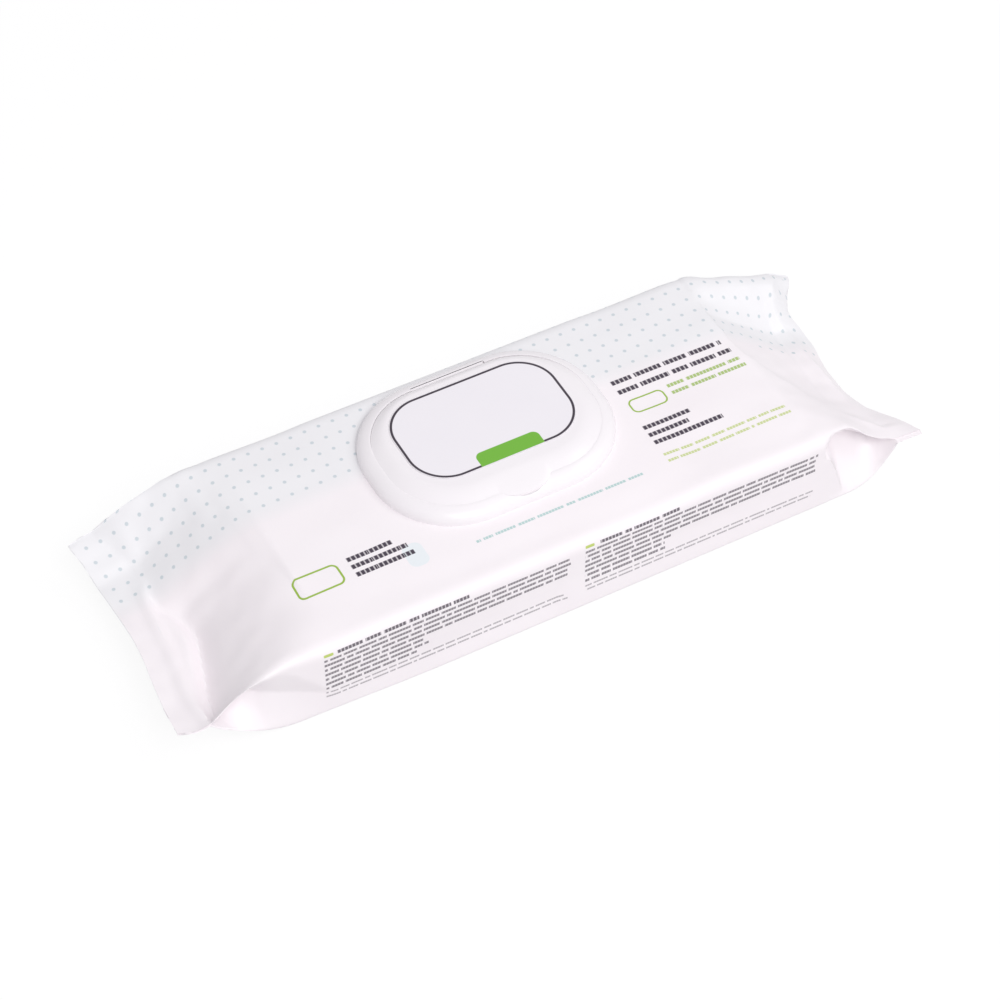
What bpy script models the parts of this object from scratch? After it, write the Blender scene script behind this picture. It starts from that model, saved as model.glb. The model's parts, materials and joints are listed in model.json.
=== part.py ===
"""Wet wipes pack: a gusseted film wrapper round a stack of wipes, with a moulded flip lid on top.

The frame stands on the pack's underside: X along the pack, Y towards the lid's hinge, Z up.
All sizes are in metres.
"""

import math

import bmesh
import bpy
from mathutils import Vector

# General
GAP = 0.0003                # clearance between pieces that touch

# Film wrapper
PACK_LENGTH = 0.2332        # from fold to fold, where the two ends begin to slope
PACK_WIDTH = 0.104
PACK_HEIGHT = 0.037
PACK_EDGE_RADIUS = 0.006    # soft rounding of the four long edges
FILM_WALL = 0.0005
END_LENGTH = 0.0330         # from the fold to the inner edge of the end seal
END_FOLD_BLEND = 0.005      # half length of the rounding over the fold
BASE_FOLD_BACK = 0.004      # how much earlier the underside starts to rise
SEAL_LENGTH = 0.0115        # crimped band at each end
SEAL_HEIGHT = 0.020         # mid height of the end seals above the floor
SEAL_THICKNESS = 0.0014
END_STATIONS = (0.22, 0.30, 0.42, 0.56, 0.70, 0.83, 0.94)

# Wipes
STACK_END_CLEARANCE = 0.0056    # from the stack's end to the fold of the wrapper

# Lid, seen from above
LID_BACK_MARGIN = 0.0034    # from the lid's back edge to the pack's back edge
LID_LENGTH = 0.1015
LID_DEPTH = 0.0745
LID_SIDE_STRAIGHT = 0.0075  # straight run between the corners at the lid's left and right
OPENING_SIDE_MARGIN = 0.0197    # from the lid's outline in to the dispensing opening
OPENING_END_MARGIN = 0.0192
OPENING_CORNER = 0.014
FILM_WINDOW_MARGIN = 0.002  # the window in the film is this much larger all round

# Lid base, heights above its underside
RIM_WIDTH = 0.0055          # from the outline to the seam between base and flap
RIM_EDGE_HEIGHT = 0.0008
RIM_FOOT = 0.0015           # width of the rim's foot on the film
SEAM_HEIGHT = 0.0058
LEDGE_CLEARANCE = 0.0002    # from the ledge up to the flap's edge
LEDGE_WIDTH = 0.0018
LEDGE_LIP = 0.0004          # the rim stands at least this much above the ledge
FLOOR_THICKNESS = 0.0010
LID_WALL = 0.0011
DAM_HEIGHT = 0.0022         # upstand round the opening, above the floor
DAM_WALL = 0.0012
RIM_STEPS = 4

# Flap, heights above the underside of the lid base
FLAP_HEIGHT = 0.0080        # flat top that carries the label
FLAP_EDGE_THICKNESS = 0.0011
FLAT_SIDE_MARGIN = 0.0130   # from the lid's outline in to the flat top
FLAT_FRONT_MARGIN = 0.0145
FLAT_BACK_MARGIN = 0.0098
FLAT_CORNER = 0.0200
FLAP_FOOT = 0.0011          # flat underside of the flap's edge, which meets the ledge
FLAP_WALL = 0.0012
SHOULDER_STEPS = 4
SHOULDER_EASE = 1.4         # over 1 makes the shoulder rise steeply at first
SEAM_GAP = 0.0004
RIB_CLEARANCE = 0.0007      # from the upstand to the flap's sealing rib
RIB_WALL = 0.0010
RIB_FLOOR_GAP = 0.0006
NIB_WIDTH = 0.023           # thumb nib at the front
NIB_REACH = 0.0030
NIB_DROP = 0.0004           # the nib's tip lies this much below the seam

# Hinge at the back
HINGE_END_MARGIN = 0.0013   # from the hinge's end to the end of the straight seam
HINGE_BEHIND_SEAM = 0.0010
HINGE_BELOW_SEAM = 0.0008
WEB_THICKNESS = 0.0005
WEB_GAP = 0.00015           # from each half of the web to the hinge line
HINGE_RECESS_DEPTH = 0.0026

# Label
LABEL_SIDE_MARGIN = 0.0150  # from the lid's outline in to the label
LABEL_FRONT_MARGIN = 0.0182
LABEL_BACK_MARGIN = 0.0118
LABEL_CORNER = 0.0165
LABEL_THICKNESS = 0.0002
LABEL_GAP = 0.0001

# Facets
MOST_CORNER_SHARE = 0.48    # a corner's radius is at most this share of the shorter side
MOST_CORNER_REACH = 1.5     # a sharp fold's rounding starts at most this many radii away
MOST_PANEL_SHARE = 0.4      # and at most this share of its side panel
CORNER_STEPS = 10
LONG_SIDE_STEPS = 10
SHORT_SIDE_STEPS = 2
SECTION_CORNER_STEPS = 4
SHARP_ANGLE = 35.0          # degrees
CUT_REACH = 0.002           # how far the window's cutter reaches past the film

LID_CORNER = (LID_DEPTH - LID_SIDE_STRAIGHT) / 2
LID_CENTRE_Y = PACK_WIDTH / 2 - LID_BACK_MARGIN - LID_DEPTH / 2
LID_BASE_Z = PACK_HEIGHT + GAP
LEDGE_HEIGHT = SEAM_HEIGHT - GAP - FLAP_EDGE_THICKNESS - LEDGE_CLEARANCE
SEAM_BACK_Y = LID_CENTRE_Y + LID_DEPTH / 2 - RIM_WIDTH
HINGE_Y = SEAM_BACK_Y + HINGE_BEHIND_SEAM
HINGE_Z = LID_BASE_Z + SEAM_HEIGHT - HINGE_BELOW_SEAM
HALF_HINGE = LID_LENGTH / 2 - LID_CORNER - HINGE_END_MARGIN


def material(name, colour, roughness):
    """Return a plain dielectric material."""
    made = bpy.data.materials.new(name)
    made.use_nodes = True
    shader = made.node_tree.nodes["Principled BSDF"]
    shader.inputs["Base Color"].default_value = (*colour, 1.0)
    shader.inputs["Roughness"].default_value = roughness
    shader.inputs["Metallic"].default_value = 0.0
    made.diffuse_color = (*colour, 1.0)
    return made


def link_mesh(name, mesh_data, finish=None, origin=(0.0, 0.0, 0.0)):
    """Turn a bmesh into a linked object whose origin lies at the given point."""
    bmesh.ops.recalc_face_normals(mesh_data, faces=mesh_data.faces)
    bmesh.ops.translate(mesh_data, verts=mesh_data.verts, vec=-Vector(origin))
    mesh = bpy.data.meshes.new(name)
    mesh_data.to_mesh(mesh)
    mesh_data.free()
    made = bpy.data.objects.new(name, mesh)
    made.location = origin
    bpy.context.scene.collection.objects.link(made)
    if finish is not None:
        mesh.materials.append(finish)
    return made


def smooth(made):
    """Shade an object smooth, but for its sharp edges."""
    made.data.shade_smooth()
    made.data.set_sharp_from_angle(angle=math.radians(SHARP_ANGLE))


def boolean(target, tool, operation):
    """Add an exact Boolean modifier, and hide its tool."""
    tool.hide_render = True
    tool.display_type = "WIRE"
    step = target.modifiers.new(f"{operation.lower()} {tool.name}", "BOOLEAN")
    step.operation = operation
    step.solver = "EXACT"
    step.object = tool


def skin(loops, closed=False):
    """Bridge loops of equal point counts into one closed surface.

    An open run of loops is capped at both ends, and a closed one joins its last loop to its first.
    """
    made = bmesh.new()
    rows = [[made.verts.new(point) for point in loop] for loop in loops]
    pairs = list(zip(rows, rows[1:]))
    if closed:
        pairs.append((rows[-1], rows[0]))
    else:
        made.faces.new(rows[0])
        made.faces.new(rows[-1])
    for lower, upper in pairs:
        for index in range(len(lower)):
            following = (index + 1) % len(lower)
            made.faces.new((lower[index], lower[following], upper[following], upper[index]))
    return made


def block(low, high):
    """Return a plain block between two corners."""
    made = bmesh.new()
    bmesh.ops.create_cube(made, size=1.0)
    for vertex in made.verts:
        vertex.co = Vector(end if place > 0 else start for start, end, place in zip(low, high, vertex.co))
    return made


def rounded_rectangle(length, depth, corner):
    """Return the points of a rounded rectangle about the origin, anticlockwise from the front right."""
    points = []
    corner = min(corner, MOST_CORNER_SHARE * min(length, depth))
    half_x = length / 2 - corner
    half_y = depth / 2 - corner
    sides = (
        (half_x, -half_y, -90, SHORT_SIDE_STEPS),
        (half_x, half_y, 0, LONG_SIDE_STEPS),
        (-half_x, half_y, 90, SHORT_SIDE_STEPS),
        (-half_x, -half_y, 180, LONG_SIDE_STEPS),
    )
    for index, (centre_x, centre_y, start, side_steps) in enumerate(sides):
        for step in range(CORNER_STEPS + 1):
            angle = math.radians(start + 90 * step / CORNER_STEPS)
            points.append(Vector((centre_x + corner * math.cos(angle), centre_y + corner * math.sin(angle))))
        next_x, next_y, next_start, _ = sides[(index + 1) % 4]
        turn = math.radians(next_start)
        target = Vector((next_x + corner * math.cos(turn), next_y + corner * math.sin(turn)))
        begin = points[-1]
        points.extend(begin.lerp(target, step / side_steps) for step in range(1, side_steps))
    return points


def at_lid(points, height):
    """Place plan points about the lid's middle at one height, or at a height for each point."""
    heights = height if isinstance(height, list) else [height] * len(points)
    return [
        Vector((point.x, LID_CENTRE_Y + point.y, LID_BASE_Z + level))
        for point, level in zip(points, heights)
    ]


def lid_outline(inset):
    """Return the lid's outline moved inwards."""
    return rounded_rectangle(LID_LENGTH - 2 * inset, LID_DEPTH - 2 * inset, LID_CORNER - inset)


def opening_outline(growth):
    """Return the dispensing opening's outline moved outwards."""
    length = LID_LENGTH - 2 * OPENING_SIDE_MARGIN
    depth = LID_DEPTH - 2 * OPENING_END_MARGIN
    return rounded_rectangle(length + 2 * growth, depth + 2 * growth, OPENING_CORNER + growth)


def margined_outline(side, front, back, corner):
    """Return a rounded rectangle that keeps its own margins to the lid's outline."""
    outline = rounded_rectangle(LID_LENGTH - 2 * side, LID_DEPTH - front - back, corner)
    return [Vector((point.x, point.y + (front - back) / 2)) for point in outline]


def flat_outline():
    """Return the outline of the flap's flat top."""
    return margined_outline(FLAT_SIDE_MARGIN, FLAT_FRONT_MARGIN, FLAT_BACK_MARGIN, FLAT_CORNER)


def nib_bulge(point):
    """Return how far the seam bulges forwards at a plan point, to make room for the thumb nib."""
    half_width = NIB_WIDTH / 2
    if point.y > 0 or abs(point.x) >= half_width:
        return 0.0
    return NIB_REACH * (1 - (point.x / half_width) ** 2)


def bulged(points):
    """Return plan points moved forwards by the nib, and each point's share of the full bulge."""
    moved = [Vector((point.x, point.y - nib_bulge(point))) for point in points]
    shares = [nib_bulge(point) / NIB_REACH for point in points]
    return moved, shares


def squeezed(points, inset):
    """Return a rim loop's plan points pressed towards the outline in front of the nib, and their insets."""
    front = -LID_DEPTH / 2
    moved = []
    insets = []
    for point in points:
        keep = 1 - nib_bulge(point) / RIM_WIDTH
        moved.append(Vector((point.x, front + (point.y - front) * keep)) if keep < 1 else point)
        insets.append(inset * keep)
    return moved, insets


def rim_height(inset):
    """Return the height of the lid base's sloping rim at a distance in from its outline."""
    share = min(max(inset / RIM_WIDTH, 0.0), 1.0)
    rise = math.sin(share * math.pi / 2)
    return RIM_EDGE_HEIGHT + (SEAM_HEIGHT - RIM_EDGE_HEIGHT) * rise


def shoulder_height(share):
    """Return the height of the flap's top at a share of the way from the seam to the flat top."""
    return SEAM_HEIGHT + (FLAP_HEIGHT - SEAM_HEIGHT) * math.sin(share * math.pi / 2)


def blended_drop(past_fold, slope):
    """Return how far a panel has dropped at a distance past its fold, rounded over the fold."""
    if past_fold <= -END_FOLD_BLEND:
        return 0.0
    if past_fold >= END_FOLD_BLEND:
        return slope * past_fold
    return slope * (past_fold + END_FOLD_BLEND) ** 2 / (4 * END_FOLD_BLEND)


def wrapper_corners(distance):
    """Return the six corners of the wrapper's cross section at a distance from its middle."""
    half_width = PACK_WIDTH / 2
    fold = PACK_LENGTH / 2
    seal_top = SEAL_HEIGHT + SEAL_THICKNESS / 2
    seal_base = SEAL_HEIGHT - SEAL_THICKNESS / 2
    in_seal = distance >= fold + END_LENGTH - GAP
    if in_seal:
        top, base, tuck = seal_top, seal_base, 0.0
    else:
        base_fold = fold - BASE_FOLD_BACK
        top = PACK_HEIGHT - blended_drop(distance - fold, (PACK_HEIGHT - seal_top) / END_LENGTH)
        base = blended_drop(distance - base_fold, seal_base / (END_LENGTH + BASE_FOLD_BACK))
        half_side = PACK_HEIGHT / 2
        tuck = math.sqrt(max(half_side ** 2 - ((top - base) / 2) ** 2, 0.0))
    middle = (top + base) / 2
    return [
        Vector((half_width, base)),
        Vector((half_width - tuck, middle)),
        Vector((half_width, top)),
        Vector((-half_width, top)),
        Vector((-half_width + tuck, middle)),
        Vector((-half_width, base)),
    ]


def inset_corners(corners, wall):
    """Move each side of an anticlockwise polygon inwards by a wall."""
    moved = []
    for index, corner in enumerate(corners):
        before = (corner - corners[index - 1]).normalized()
        after = (corners[(index + 1) % len(corners)] - corner).normalized()
        first = Vector((-before.y, before.x))
        second = Vector((-after.y, after.x))
        moved.append(corner + (first + second) * wall / (1 + first.dot(second)))
    return moved


def rounded_section(corners, radius):
    """Round the convex corners of a cross section, and keep the two tucked side points as they are.

    The rounding shrinks with the section's height, so that the panels' edges run into the flat seal.
    """
    points = []
    radius *= (corners[2].y - corners[0].y) / PACK_HEIGHT
    for index, corner in enumerate(corners):
        if index in (1, 4):
            points.append(corner)
            continue
        back = corners[index - 1] - corner
        ahead = corners[(index + 1) % len(corners)] - corner
        half_angle = back.angle(ahead) / 2
        side = min(back.length, ahead.length)
        reach = min(radius / math.tan(half_angle), MOST_CORNER_REACH * radius, MOST_PANEL_SHARE * side)
        start = corner + back.normalized() * reach
        end = corner + ahead.normalized() * reach
        for step in range(SECTION_CORNER_STEPS + 1):
            share = step / SECTION_CORNER_STEPS
            points.append(start.lerp(corner, share).lerp(corner.lerp(end, share), share))
    return points


def wrapper_solid(wall, last_share, include_seal):
    """Return the wrapper's body, moved inwards by a wall, out to a share of its sloping ends."""
    fold = PACK_LENGTH / 2
    base_fold = fold - BASE_FOLD_BACK
    steps = {base_fold - END_FOLD_BLEND, base_fold, fold - END_FOLD_BLEND, fold, fold + END_FOLD_BLEND}
    steps.update(fold + END_LENGTH * share for share in END_STATIONS if share <= last_share)
    if include_seal:
        steps.update((fold + END_LENGTH, fold + END_LENGTH + SEAL_LENGTH))
    distances = sorted(steps)
    loops = []
    for distance in [-d for d in reversed(distances)] + distances:
        corners = inset_corners(wrapper_corners(abs(distance)), wall)
        section = rounded_section(corners, PACK_EDGE_RADIUS - wall)
        loops.append([Vector((distance, point.x, point.y)) for point in section])
    return skin(loops)


def make_wrapper():
    """Film wrapper: one sheet folded to a gusseted tube, sealed at both ends, with a window under the lid."""
    finish = material("film", (0.93, 0.92, 0.93), 0.30)
    made = link_mesh("film_wrapper", wrapper_solid(0.0, 1.0, include_seal=True), finish)
    cavity = link_mesh("wrapper_cavity", wrapper_solid(FILM_WALL, END_STATIONS[-1], include_seal=False))
    window_outline = opening_outline(FILM_WINDOW_MARGIN)
    window = skin([at_lid(window_outline, -GAP - CUT_REACH), at_lid(window_outline, -GAP + CUT_REACH)])
    boolean(made, cavity, "DIFFERENCE")
    boolean(made, link_mesh("wrapper_window", window), "DIFFERENCE")
    smooth(made)


def make_stack():
    """Stack of folded wipes, one soft block that fills the straight part of the wrapper."""
    clear = FILM_WALL + GAP
    half_length = PACK_LENGTH / 2 - STACK_END_CLEARANCE
    half_width = PACK_WIDTH / 2 - clear
    made = block((-half_length, -half_width, clear), (half_length, half_width, PACK_HEIGHT - clear))
    bmesh.ops.bevel(
        made,
        geom=made.edges,
        offset=PACK_EDGE_RADIUS - clear,
        offset_type="OFFSET",
        segments=SECTION_CORNER_STEPS,
        profile=0.5,
        affect="EDGES",
    )
    stack = link_mesh("wipe_stack", made, material("wipes", (0.95, 0.95, 0.95), 0.90))
    smooth(stack)


def base_loops():
    """Return the loops of the lid base's section, from its outline over the rim and back underneath."""
    loops = [at_lid(lid_outline(0.0), 0.0), at_lid(lid_outline(0.0), RIM_EDGE_HEIGHT)]
    for step in range(1, RIM_STEPS):
        inset = RIM_WIDTH * step / RIM_STEPS
        points, insets = squeezed(lid_outline(inset), inset)
        loops.append(at_lid(points, [rim_height(distance) for distance in insets]))
    seam, shares = bulged(lid_outline(RIM_WIDTH))
    crest = [rim_height(RIM_WIDTH - NIB_REACH * share) for share in shares]
    ledge = [
        min(LEDGE_HEIGHT - NIB_DROP * share, height - LEDGE_LIP)
        for height, share in zip(crest, shares)
    ]
    loops.append(at_lid(seam, crest))
    loops.append(at_lid(seam, ledge))
    wall_inset = RIM_WIDTH + LEDGE_WIDTH
    loops.append(at_lid(lid_outline(wall_inset), ledge))
    loops.append(at_lid(lid_outline(wall_inset), FLOOR_THICKNESS))
    dam_top = FLOOR_THICKNESS + DAM_HEIGHT
    loops.append(at_lid(opening_outline(DAM_WALL), FLOOR_THICKNESS))
    loops.append(at_lid(opening_outline(DAM_WALL), dam_top))
    loops.append(at_lid(opening_outline(0.0), dam_top))
    loops.append(at_lid(opening_outline(0.0), 0.0))
    hollow_inset = wall_inset - LID_WALL
    roof = [level - LID_WALL for level in ledge]
    loops.append(at_lid(lid_outline(hollow_inset), 0.0))
    loops.append(at_lid(lid_outline(hollow_inset), roof))
    slope_inset = RIM_WIDTH - LID_WALL
    loops.append(at_lid(lid_outline(slope_inset), roof))
    loops.append(at_lid(lid_outline(RIM_FOOT), 0.0))
    return loops


def make_base():
    """Lid base: a sloping hollow rim, a ledge for the flap, a floor and an upstand round the opening."""
    finish = material("lid", (0.94, 0.93, 0.94), 0.22)
    made = link_mesh("lid_base", skin(base_loops(), closed=True), finish)
    half_room = HALF_HINGE + GAP
    seam_room = block(
        (-half_room, SEAM_BACK_Y - GAP, LID_BASE_Z + LEDGE_HEIGHT - GAP),
        (half_room, HINGE_Y + WEB_GAP, LID_BASE_Z + FLAP_HEIGHT),
    )
    crest_room = block(
        (-half_room, SEAM_BACK_Y - 2 * GAP, HINGE_Z),
        (half_room, SEAM_BACK_Y + HINGE_RECESS_DEPTH, LID_BASE_Z + FLAP_HEIGHT + GAP),
    )
    boolean(made, link_mesh("hinge_seam_room", seam_room), "DIFFERENCE")
    boolean(made, link_mesh("hinge_crest_room", crest_room), "DIFFERENCE")
    smooth(made)


def between(start, end, share):
    """Return plan points a share of the way from one outline to another."""
    return [first.lerp(second, share) for first, second in zip(start, end)]


def flap_loops():
    """Return the loops of the flap's section, from its flat top over the shoulder to the sealing rib."""
    edge_inset = RIM_WIDTH + SEAM_GAP
    loops = []
    for step in range(SHOULDER_STEPS, 0, -1):
        share = step / SHOULDER_STEPS
        points = between(lid_outline(edge_inset), flat_outline(), share ** SHOULDER_EASE)
        loops.append(at_lid(points, shoulder_height(share)))
    edge, shares = bulged(lid_outline(edge_inset))
    edge_top = [SEAM_HEIGHT - GAP - NIB_DROP * share for share in shares]
    edge_base = [level - FLAP_EDGE_THICKNESS for level in edge_top]
    loops.append(at_lid(edge, edge_top))
    loops.append(at_lid(edge, edge_base))
    foot = lid_outline(edge_inset + FLAP_FOOT)
    loops.append(at_lid(foot, edge_base))
    for step in range(1, SHOULDER_STEPS + 1):
        share = step / SHOULDER_STEPS
        points = between(foot, flat_outline(), share ** SHOULDER_EASE)
        loops.append(at_lid(points, shoulder_height(share) - FLAP_WALL))
    roof = FLAP_HEIGHT - FLAP_WALL
    rib_base = FLOOR_THICKNESS + RIB_FLOOR_GAP
    rib_inner = DAM_WALL + RIB_CLEARANCE
    rib_outer = rib_inner + RIB_WALL
    loops.append(at_lid(opening_outline(rib_outer), roof))
    loops.append(at_lid(opening_outline(rib_outer), rib_base))
    loops.append(at_lid(opening_outline(rib_inner), rib_base))
    loops.append(at_lid(opening_outline(rib_inner), roof))
    return loops


def make_flap():
    """Flap: a domed cover with a flat top, a thumb nib and a sealing rib, hinged at the back by a thin web."""
    finish = material("lid_flap", (0.94, 0.93, 0.94), 0.22)
    hinge = (0.0, HINGE_Y, HINGE_Z)
    made = link_mesh("lid_flap", skin(flap_loops()), finish, origin=hinge)
    web = block(
        (-HALF_HINGE, SEAM_BACK_Y - SEAM_GAP - FLAP_EDGE_THICKNESS / 2, HINGE_Z - WEB_THICKNESS),
        (HALF_HINGE, HINGE_Y - WEB_GAP, HINGE_Z),
    )
    boolean(made, link_mesh("flap_web", web), "UNION")
    smooth(made)
    return made


def make_label(flap):
    """Label: a thin printed sheet on the flap's flat top."""
    outline = margined_outline(LABEL_SIDE_MARGIN, LABEL_FRONT_MARGIN, LABEL_BACK_MARGIN, LABEL_CORNER)
    low = FLAP_HEIGHT + LABEL_GAP
    finish = material("label", (0.92, 0.90, 0.94), 0.35)
    loops = [at_lid(outline, low), at_lid(outline, low + LABEL_THICKNESS)]
    made = link_mesh("lid_label", skin(loops), finish, origin=tuple(flap.location))
    made.parent = flap
    made.matrix_parent_inverse = flap.matrix_basis.inverted()


def main():
    """Build every piece of the pack."""
    for old in list(bpy.data.objects):
        bpy.data.objects.remove(old, do_unlink=True)
    make_wrapper()
    make_stack()
    make_base()
    flap = make_flap()
    make_label(flap)


main()
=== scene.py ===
"""Looks of the wet wipes pack: film wrapper, wipes, flip lid and label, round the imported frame.

The pack lies along X with the lid's hinge towards +Y and Z up. Sizes here are in millimetres, and each
mesh is turned to metres as it is made.
"""

import json
import logging
import math
from collections.abc import Callable
from dataclasses import dataclass, field
from enum import Enum

import bmesh
import bpy
import numpy as np
from mathutils import Matrix, Quaternion, Vector, noise

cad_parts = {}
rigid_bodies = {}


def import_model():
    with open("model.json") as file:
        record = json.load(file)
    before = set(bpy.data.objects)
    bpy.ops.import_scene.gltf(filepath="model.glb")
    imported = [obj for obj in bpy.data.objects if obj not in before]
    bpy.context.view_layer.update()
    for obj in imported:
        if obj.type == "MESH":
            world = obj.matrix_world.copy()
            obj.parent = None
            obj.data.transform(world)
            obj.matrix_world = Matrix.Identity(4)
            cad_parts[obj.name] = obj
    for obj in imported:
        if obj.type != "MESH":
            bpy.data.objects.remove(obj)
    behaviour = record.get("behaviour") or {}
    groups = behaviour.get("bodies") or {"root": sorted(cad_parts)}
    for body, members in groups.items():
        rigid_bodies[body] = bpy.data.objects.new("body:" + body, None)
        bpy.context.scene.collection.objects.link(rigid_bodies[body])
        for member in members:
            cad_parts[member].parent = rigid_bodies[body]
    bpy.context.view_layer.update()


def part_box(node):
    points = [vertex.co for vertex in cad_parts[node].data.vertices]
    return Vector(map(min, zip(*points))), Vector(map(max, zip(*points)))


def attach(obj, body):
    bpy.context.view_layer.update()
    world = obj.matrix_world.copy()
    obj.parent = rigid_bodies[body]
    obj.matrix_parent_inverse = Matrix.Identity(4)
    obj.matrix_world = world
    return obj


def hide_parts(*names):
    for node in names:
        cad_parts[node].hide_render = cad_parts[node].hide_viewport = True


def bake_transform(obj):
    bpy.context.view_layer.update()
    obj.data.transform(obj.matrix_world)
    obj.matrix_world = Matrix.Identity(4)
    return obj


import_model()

MM = 0.001
# The film's map spans this length, an edge longer than LONG_EDGE runs along the piece, and SHEER is the small
# step inwards that keeps a wall just short of upright.
FILM_UNIT = 400.0
LONG_EDGE = 5.0
SHEER = 0.04
BAR_INPUTS = ("Left", "Top", "Width", "Pitch", "Rows", "Height", "Word", "Gap", "Ragged", "Tick", "Notch")
LOG = logging.getLogger("wipes_pack")

Array = np.ndarray
Socket = bpy.types.NodeSocket
Pair = tuple[float, float]
Curve = tuple[Pair, ...]
Triple = tuple[float, float, float]
Colour = Triple


class Body(Enum):
    """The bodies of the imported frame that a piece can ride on."""

    PACK = "pack"
    FLAP = "flap"


class Slot(Enum):
    """The record's material slots."""

    FILM = "film"
    WIPES = "wipes"
    LID = "lid"
    LABEL = "label"


def box_mm(node: str) -> tuple[Vector, Vector]:
    """Read a frame node's lowest and highest corners.

    Args:
        node: name of the node in the frame.

    Returns:
        The two corners in millimetres.
    """
    low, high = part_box(node)
    return low / MM, high / MM


def eased(points: Curve, at: Array) -> Array:
    """Read a smooth curve that passes through a few points and never swings past them.

    Args:
        points: the points, as place and value, with rising places.
        at: the places to read.

    Returns:
        The curve's values, held level beyond its two ends.
    """
    places, values = np.array(points, float).T
    slopes = np.diff(values) / np.diff(places)
    before, after = slopes[:-1], slopes[1:]
    same_way = before * after > 0
    total = np.where(same_way, before + after, 1.0)
    inner = np.where(same_way, 2 * before * after / total, 0.0)
    tangents = np.concatenate(([slopes[0]], inner, [slopes[-1]]))
    index = np.clip(np.searchsorted(places, at) - 1, 0, len(slopes) - 1)
    run = places[index + 1] - places[index]
    share = np.clip((at - places[index]) / run, 0.0, 1.0)
    square, cube = share ** 2, share ** 3
    return (
        (2 * cube - 3 * square + 1) * values[index]
        + (cube - 2 * square + share) * run * tangents[index]
        + (3 * square - 2 * cube) * values[index + 1]
        + (cube - square) * run * tangents[index + 1]
    )


def soft_step(low: float | Array, high: float | Array, at: Array) -> Array:
    """Rise softly from 0 at the low end to 1 at the high end.

    Args:
        low: where the rise starts.
        high: where it ends.
        at: the places to read.

    Returns:
        The share of the rise at each place.
    """
    share = np.clip((at - low) / (high - low), 0.0, 1.0)
    return share * share * (3 - 2 * share)


def between(low: float | Array, high: float | Array, share: float | Array) -> Array:
    """Return the value a share of the way from low to high."""
    return low + (high - low) * share


def cloud(
    x: Array, y: Array, z: Array, scale: Triple, shift: float
) -> Array:
    """Read soft noise at many places.

    Args:
        x: the places along X.
        y: the places along Y.
        z: the places along Z.
        scale: how fast the noise changes along each axis.
        shift: a further step along the noise's third axis.

    Returns:
        Values from about -1 to 1, in the places' own shape.
    """
    places = zip(x.ravel(), y.ravel(), z.ravel())
    values = [noise.noise(Vector((a * scale[0], b * scale[1], c * scale[2] + shift))) for a, b, c in places]
    return np.array(values).reshape(x.shape)


# Shader building


class Graph:
    """Short calls for wiring a material or a node group."""

    def __init__(self, tree: bpy.types.NodeTree) -> None:
        """Keep the tree that the nodes go into."""
        self.tree = tree

    def node(self, kind: str, **settings: object) -> bpy.types.Node:
        """Add a node.

        Args:
            kind: Blender's name of the node type.
            **settings: properties to set on it.

        Returns:
            The new node.
        """
        made = self.tree.nodes.new(kind)
        for name, value in settings.items():
            setattr(made, name, value)
        return made

    def join(self, source: object, target: Socket) -> None:
        """Link a socket to another, or set the target to a plain value.

        Args:
            source: a socket or a value.
            target: the input socket.
        """
        if isinstance(source, Socket):
            self.tree.links.new(source, target)
        else:
            target.default_value = source

    def math(self, operation: str, *terms: object, clamp: bool = False) -> Socket:
        """Work out one number.

        Args:
            operation: Blender's name of the operation.
            *terms: sockets or plain numbers.
            clamp: keep the result between 0 and 1.

        Returns:
            The result's socket.
        """
        made = self.node("ShaderNodeMath", operation=operation, use_clamp=clamp)
        for term, socket in zip(terms, made.inputs):
            self.join(term, socket)
        return made.outputs[0]

    def minus(self, first: object, second: object) -> Socket:
        """Subtract the second number from the first."""
        return self.math("SUBTRACT", first, second)

    def times(self, first: object, second: object) -> Socket:
        """Multiply two numbers."""
        return self.math("MULTIPLY", first, second)

    def vector_math(self, operation: str, *terms: object) -> bpy.types.Node:
        """Work out one vector.

        Args:
            operation: Blender's name of the operation.
            *terms: sockets or plain vectors.

        Returns:
            The whole node.
        """
        made = self.node("ShaderNodeVectorMath", operation=operation)
        for term, socket in zip(terms, made.inputs):
            self.join(term, socket)
        return made

    def edge(self, distance: object, width: float) -> Socket:
        """Turn a signed distance into a mask that is 1 where it is negative, with a soft edge."""
        return self.math("MULTIPLY_ADD", distance, -1.0 / width, 0.5, clamp=True)

    def mix(self, share: object, low: object, high: object) -> Socket:
        """Mix two colours.

        Args:
            share: how much of the second colour is taken.
            low: the first colour.
            high: the second colour.

        Returns:
            The mixed colour's socket.
        """
        made = self.node("ShaderNodeMix", data_type="RGBA")
        self.join(share, made.inputs["Factor"])
        self.join(opaque(low), made.inputs[6])
        self.join(opaque(high), made.inputs[7])
        return made.outputs[2]

    def span(self, value: object, low: float, high: float) -> Socket:
        """Stretch a value from 0 to 1 over a span of numbers."""
        return self.math("MULTIPLY_ADD", value, high - low, low)

    def group(self, tree: bpy.types.NodeTree, **inputs: object) -> bpy.types.Node:
        """Place a node group.

        Args:
            tree: the group.
            **inputs: its inputs, with _ for the spaces in their names.

        Returns:
            The group's node.
        """
        made = self.node("ShaderNodeGroup", node_tree=tree)
        for name, value in inputs.items():
            self.join(value, made.inputs[name.replace("_", " ")])
        return made


def opaque(colour: object) -> object:
    """Give a plain colour its alpha, and pass a socket through."""
    return (*colour, 1.0) if isinstance(colour, tuple) and len(colour) == 3 else colour


def screen_colour(red: int, green: int, blue: int) -> Colour:
    """Turn a screen colour into the linear light that shaders use.

    Args:
        red: 0 to 255.
        green: 0 to 255.
        blue: 0 to 255.

    Returns:
        The linear colour.
    """
    shares = (channel / 255 for channel in (red, green, blue))
    return tuple(s / 12.92 if s <= 0.04045 else ((s + 0.055) / 1.055) ** 2.4 for s in shares)


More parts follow.
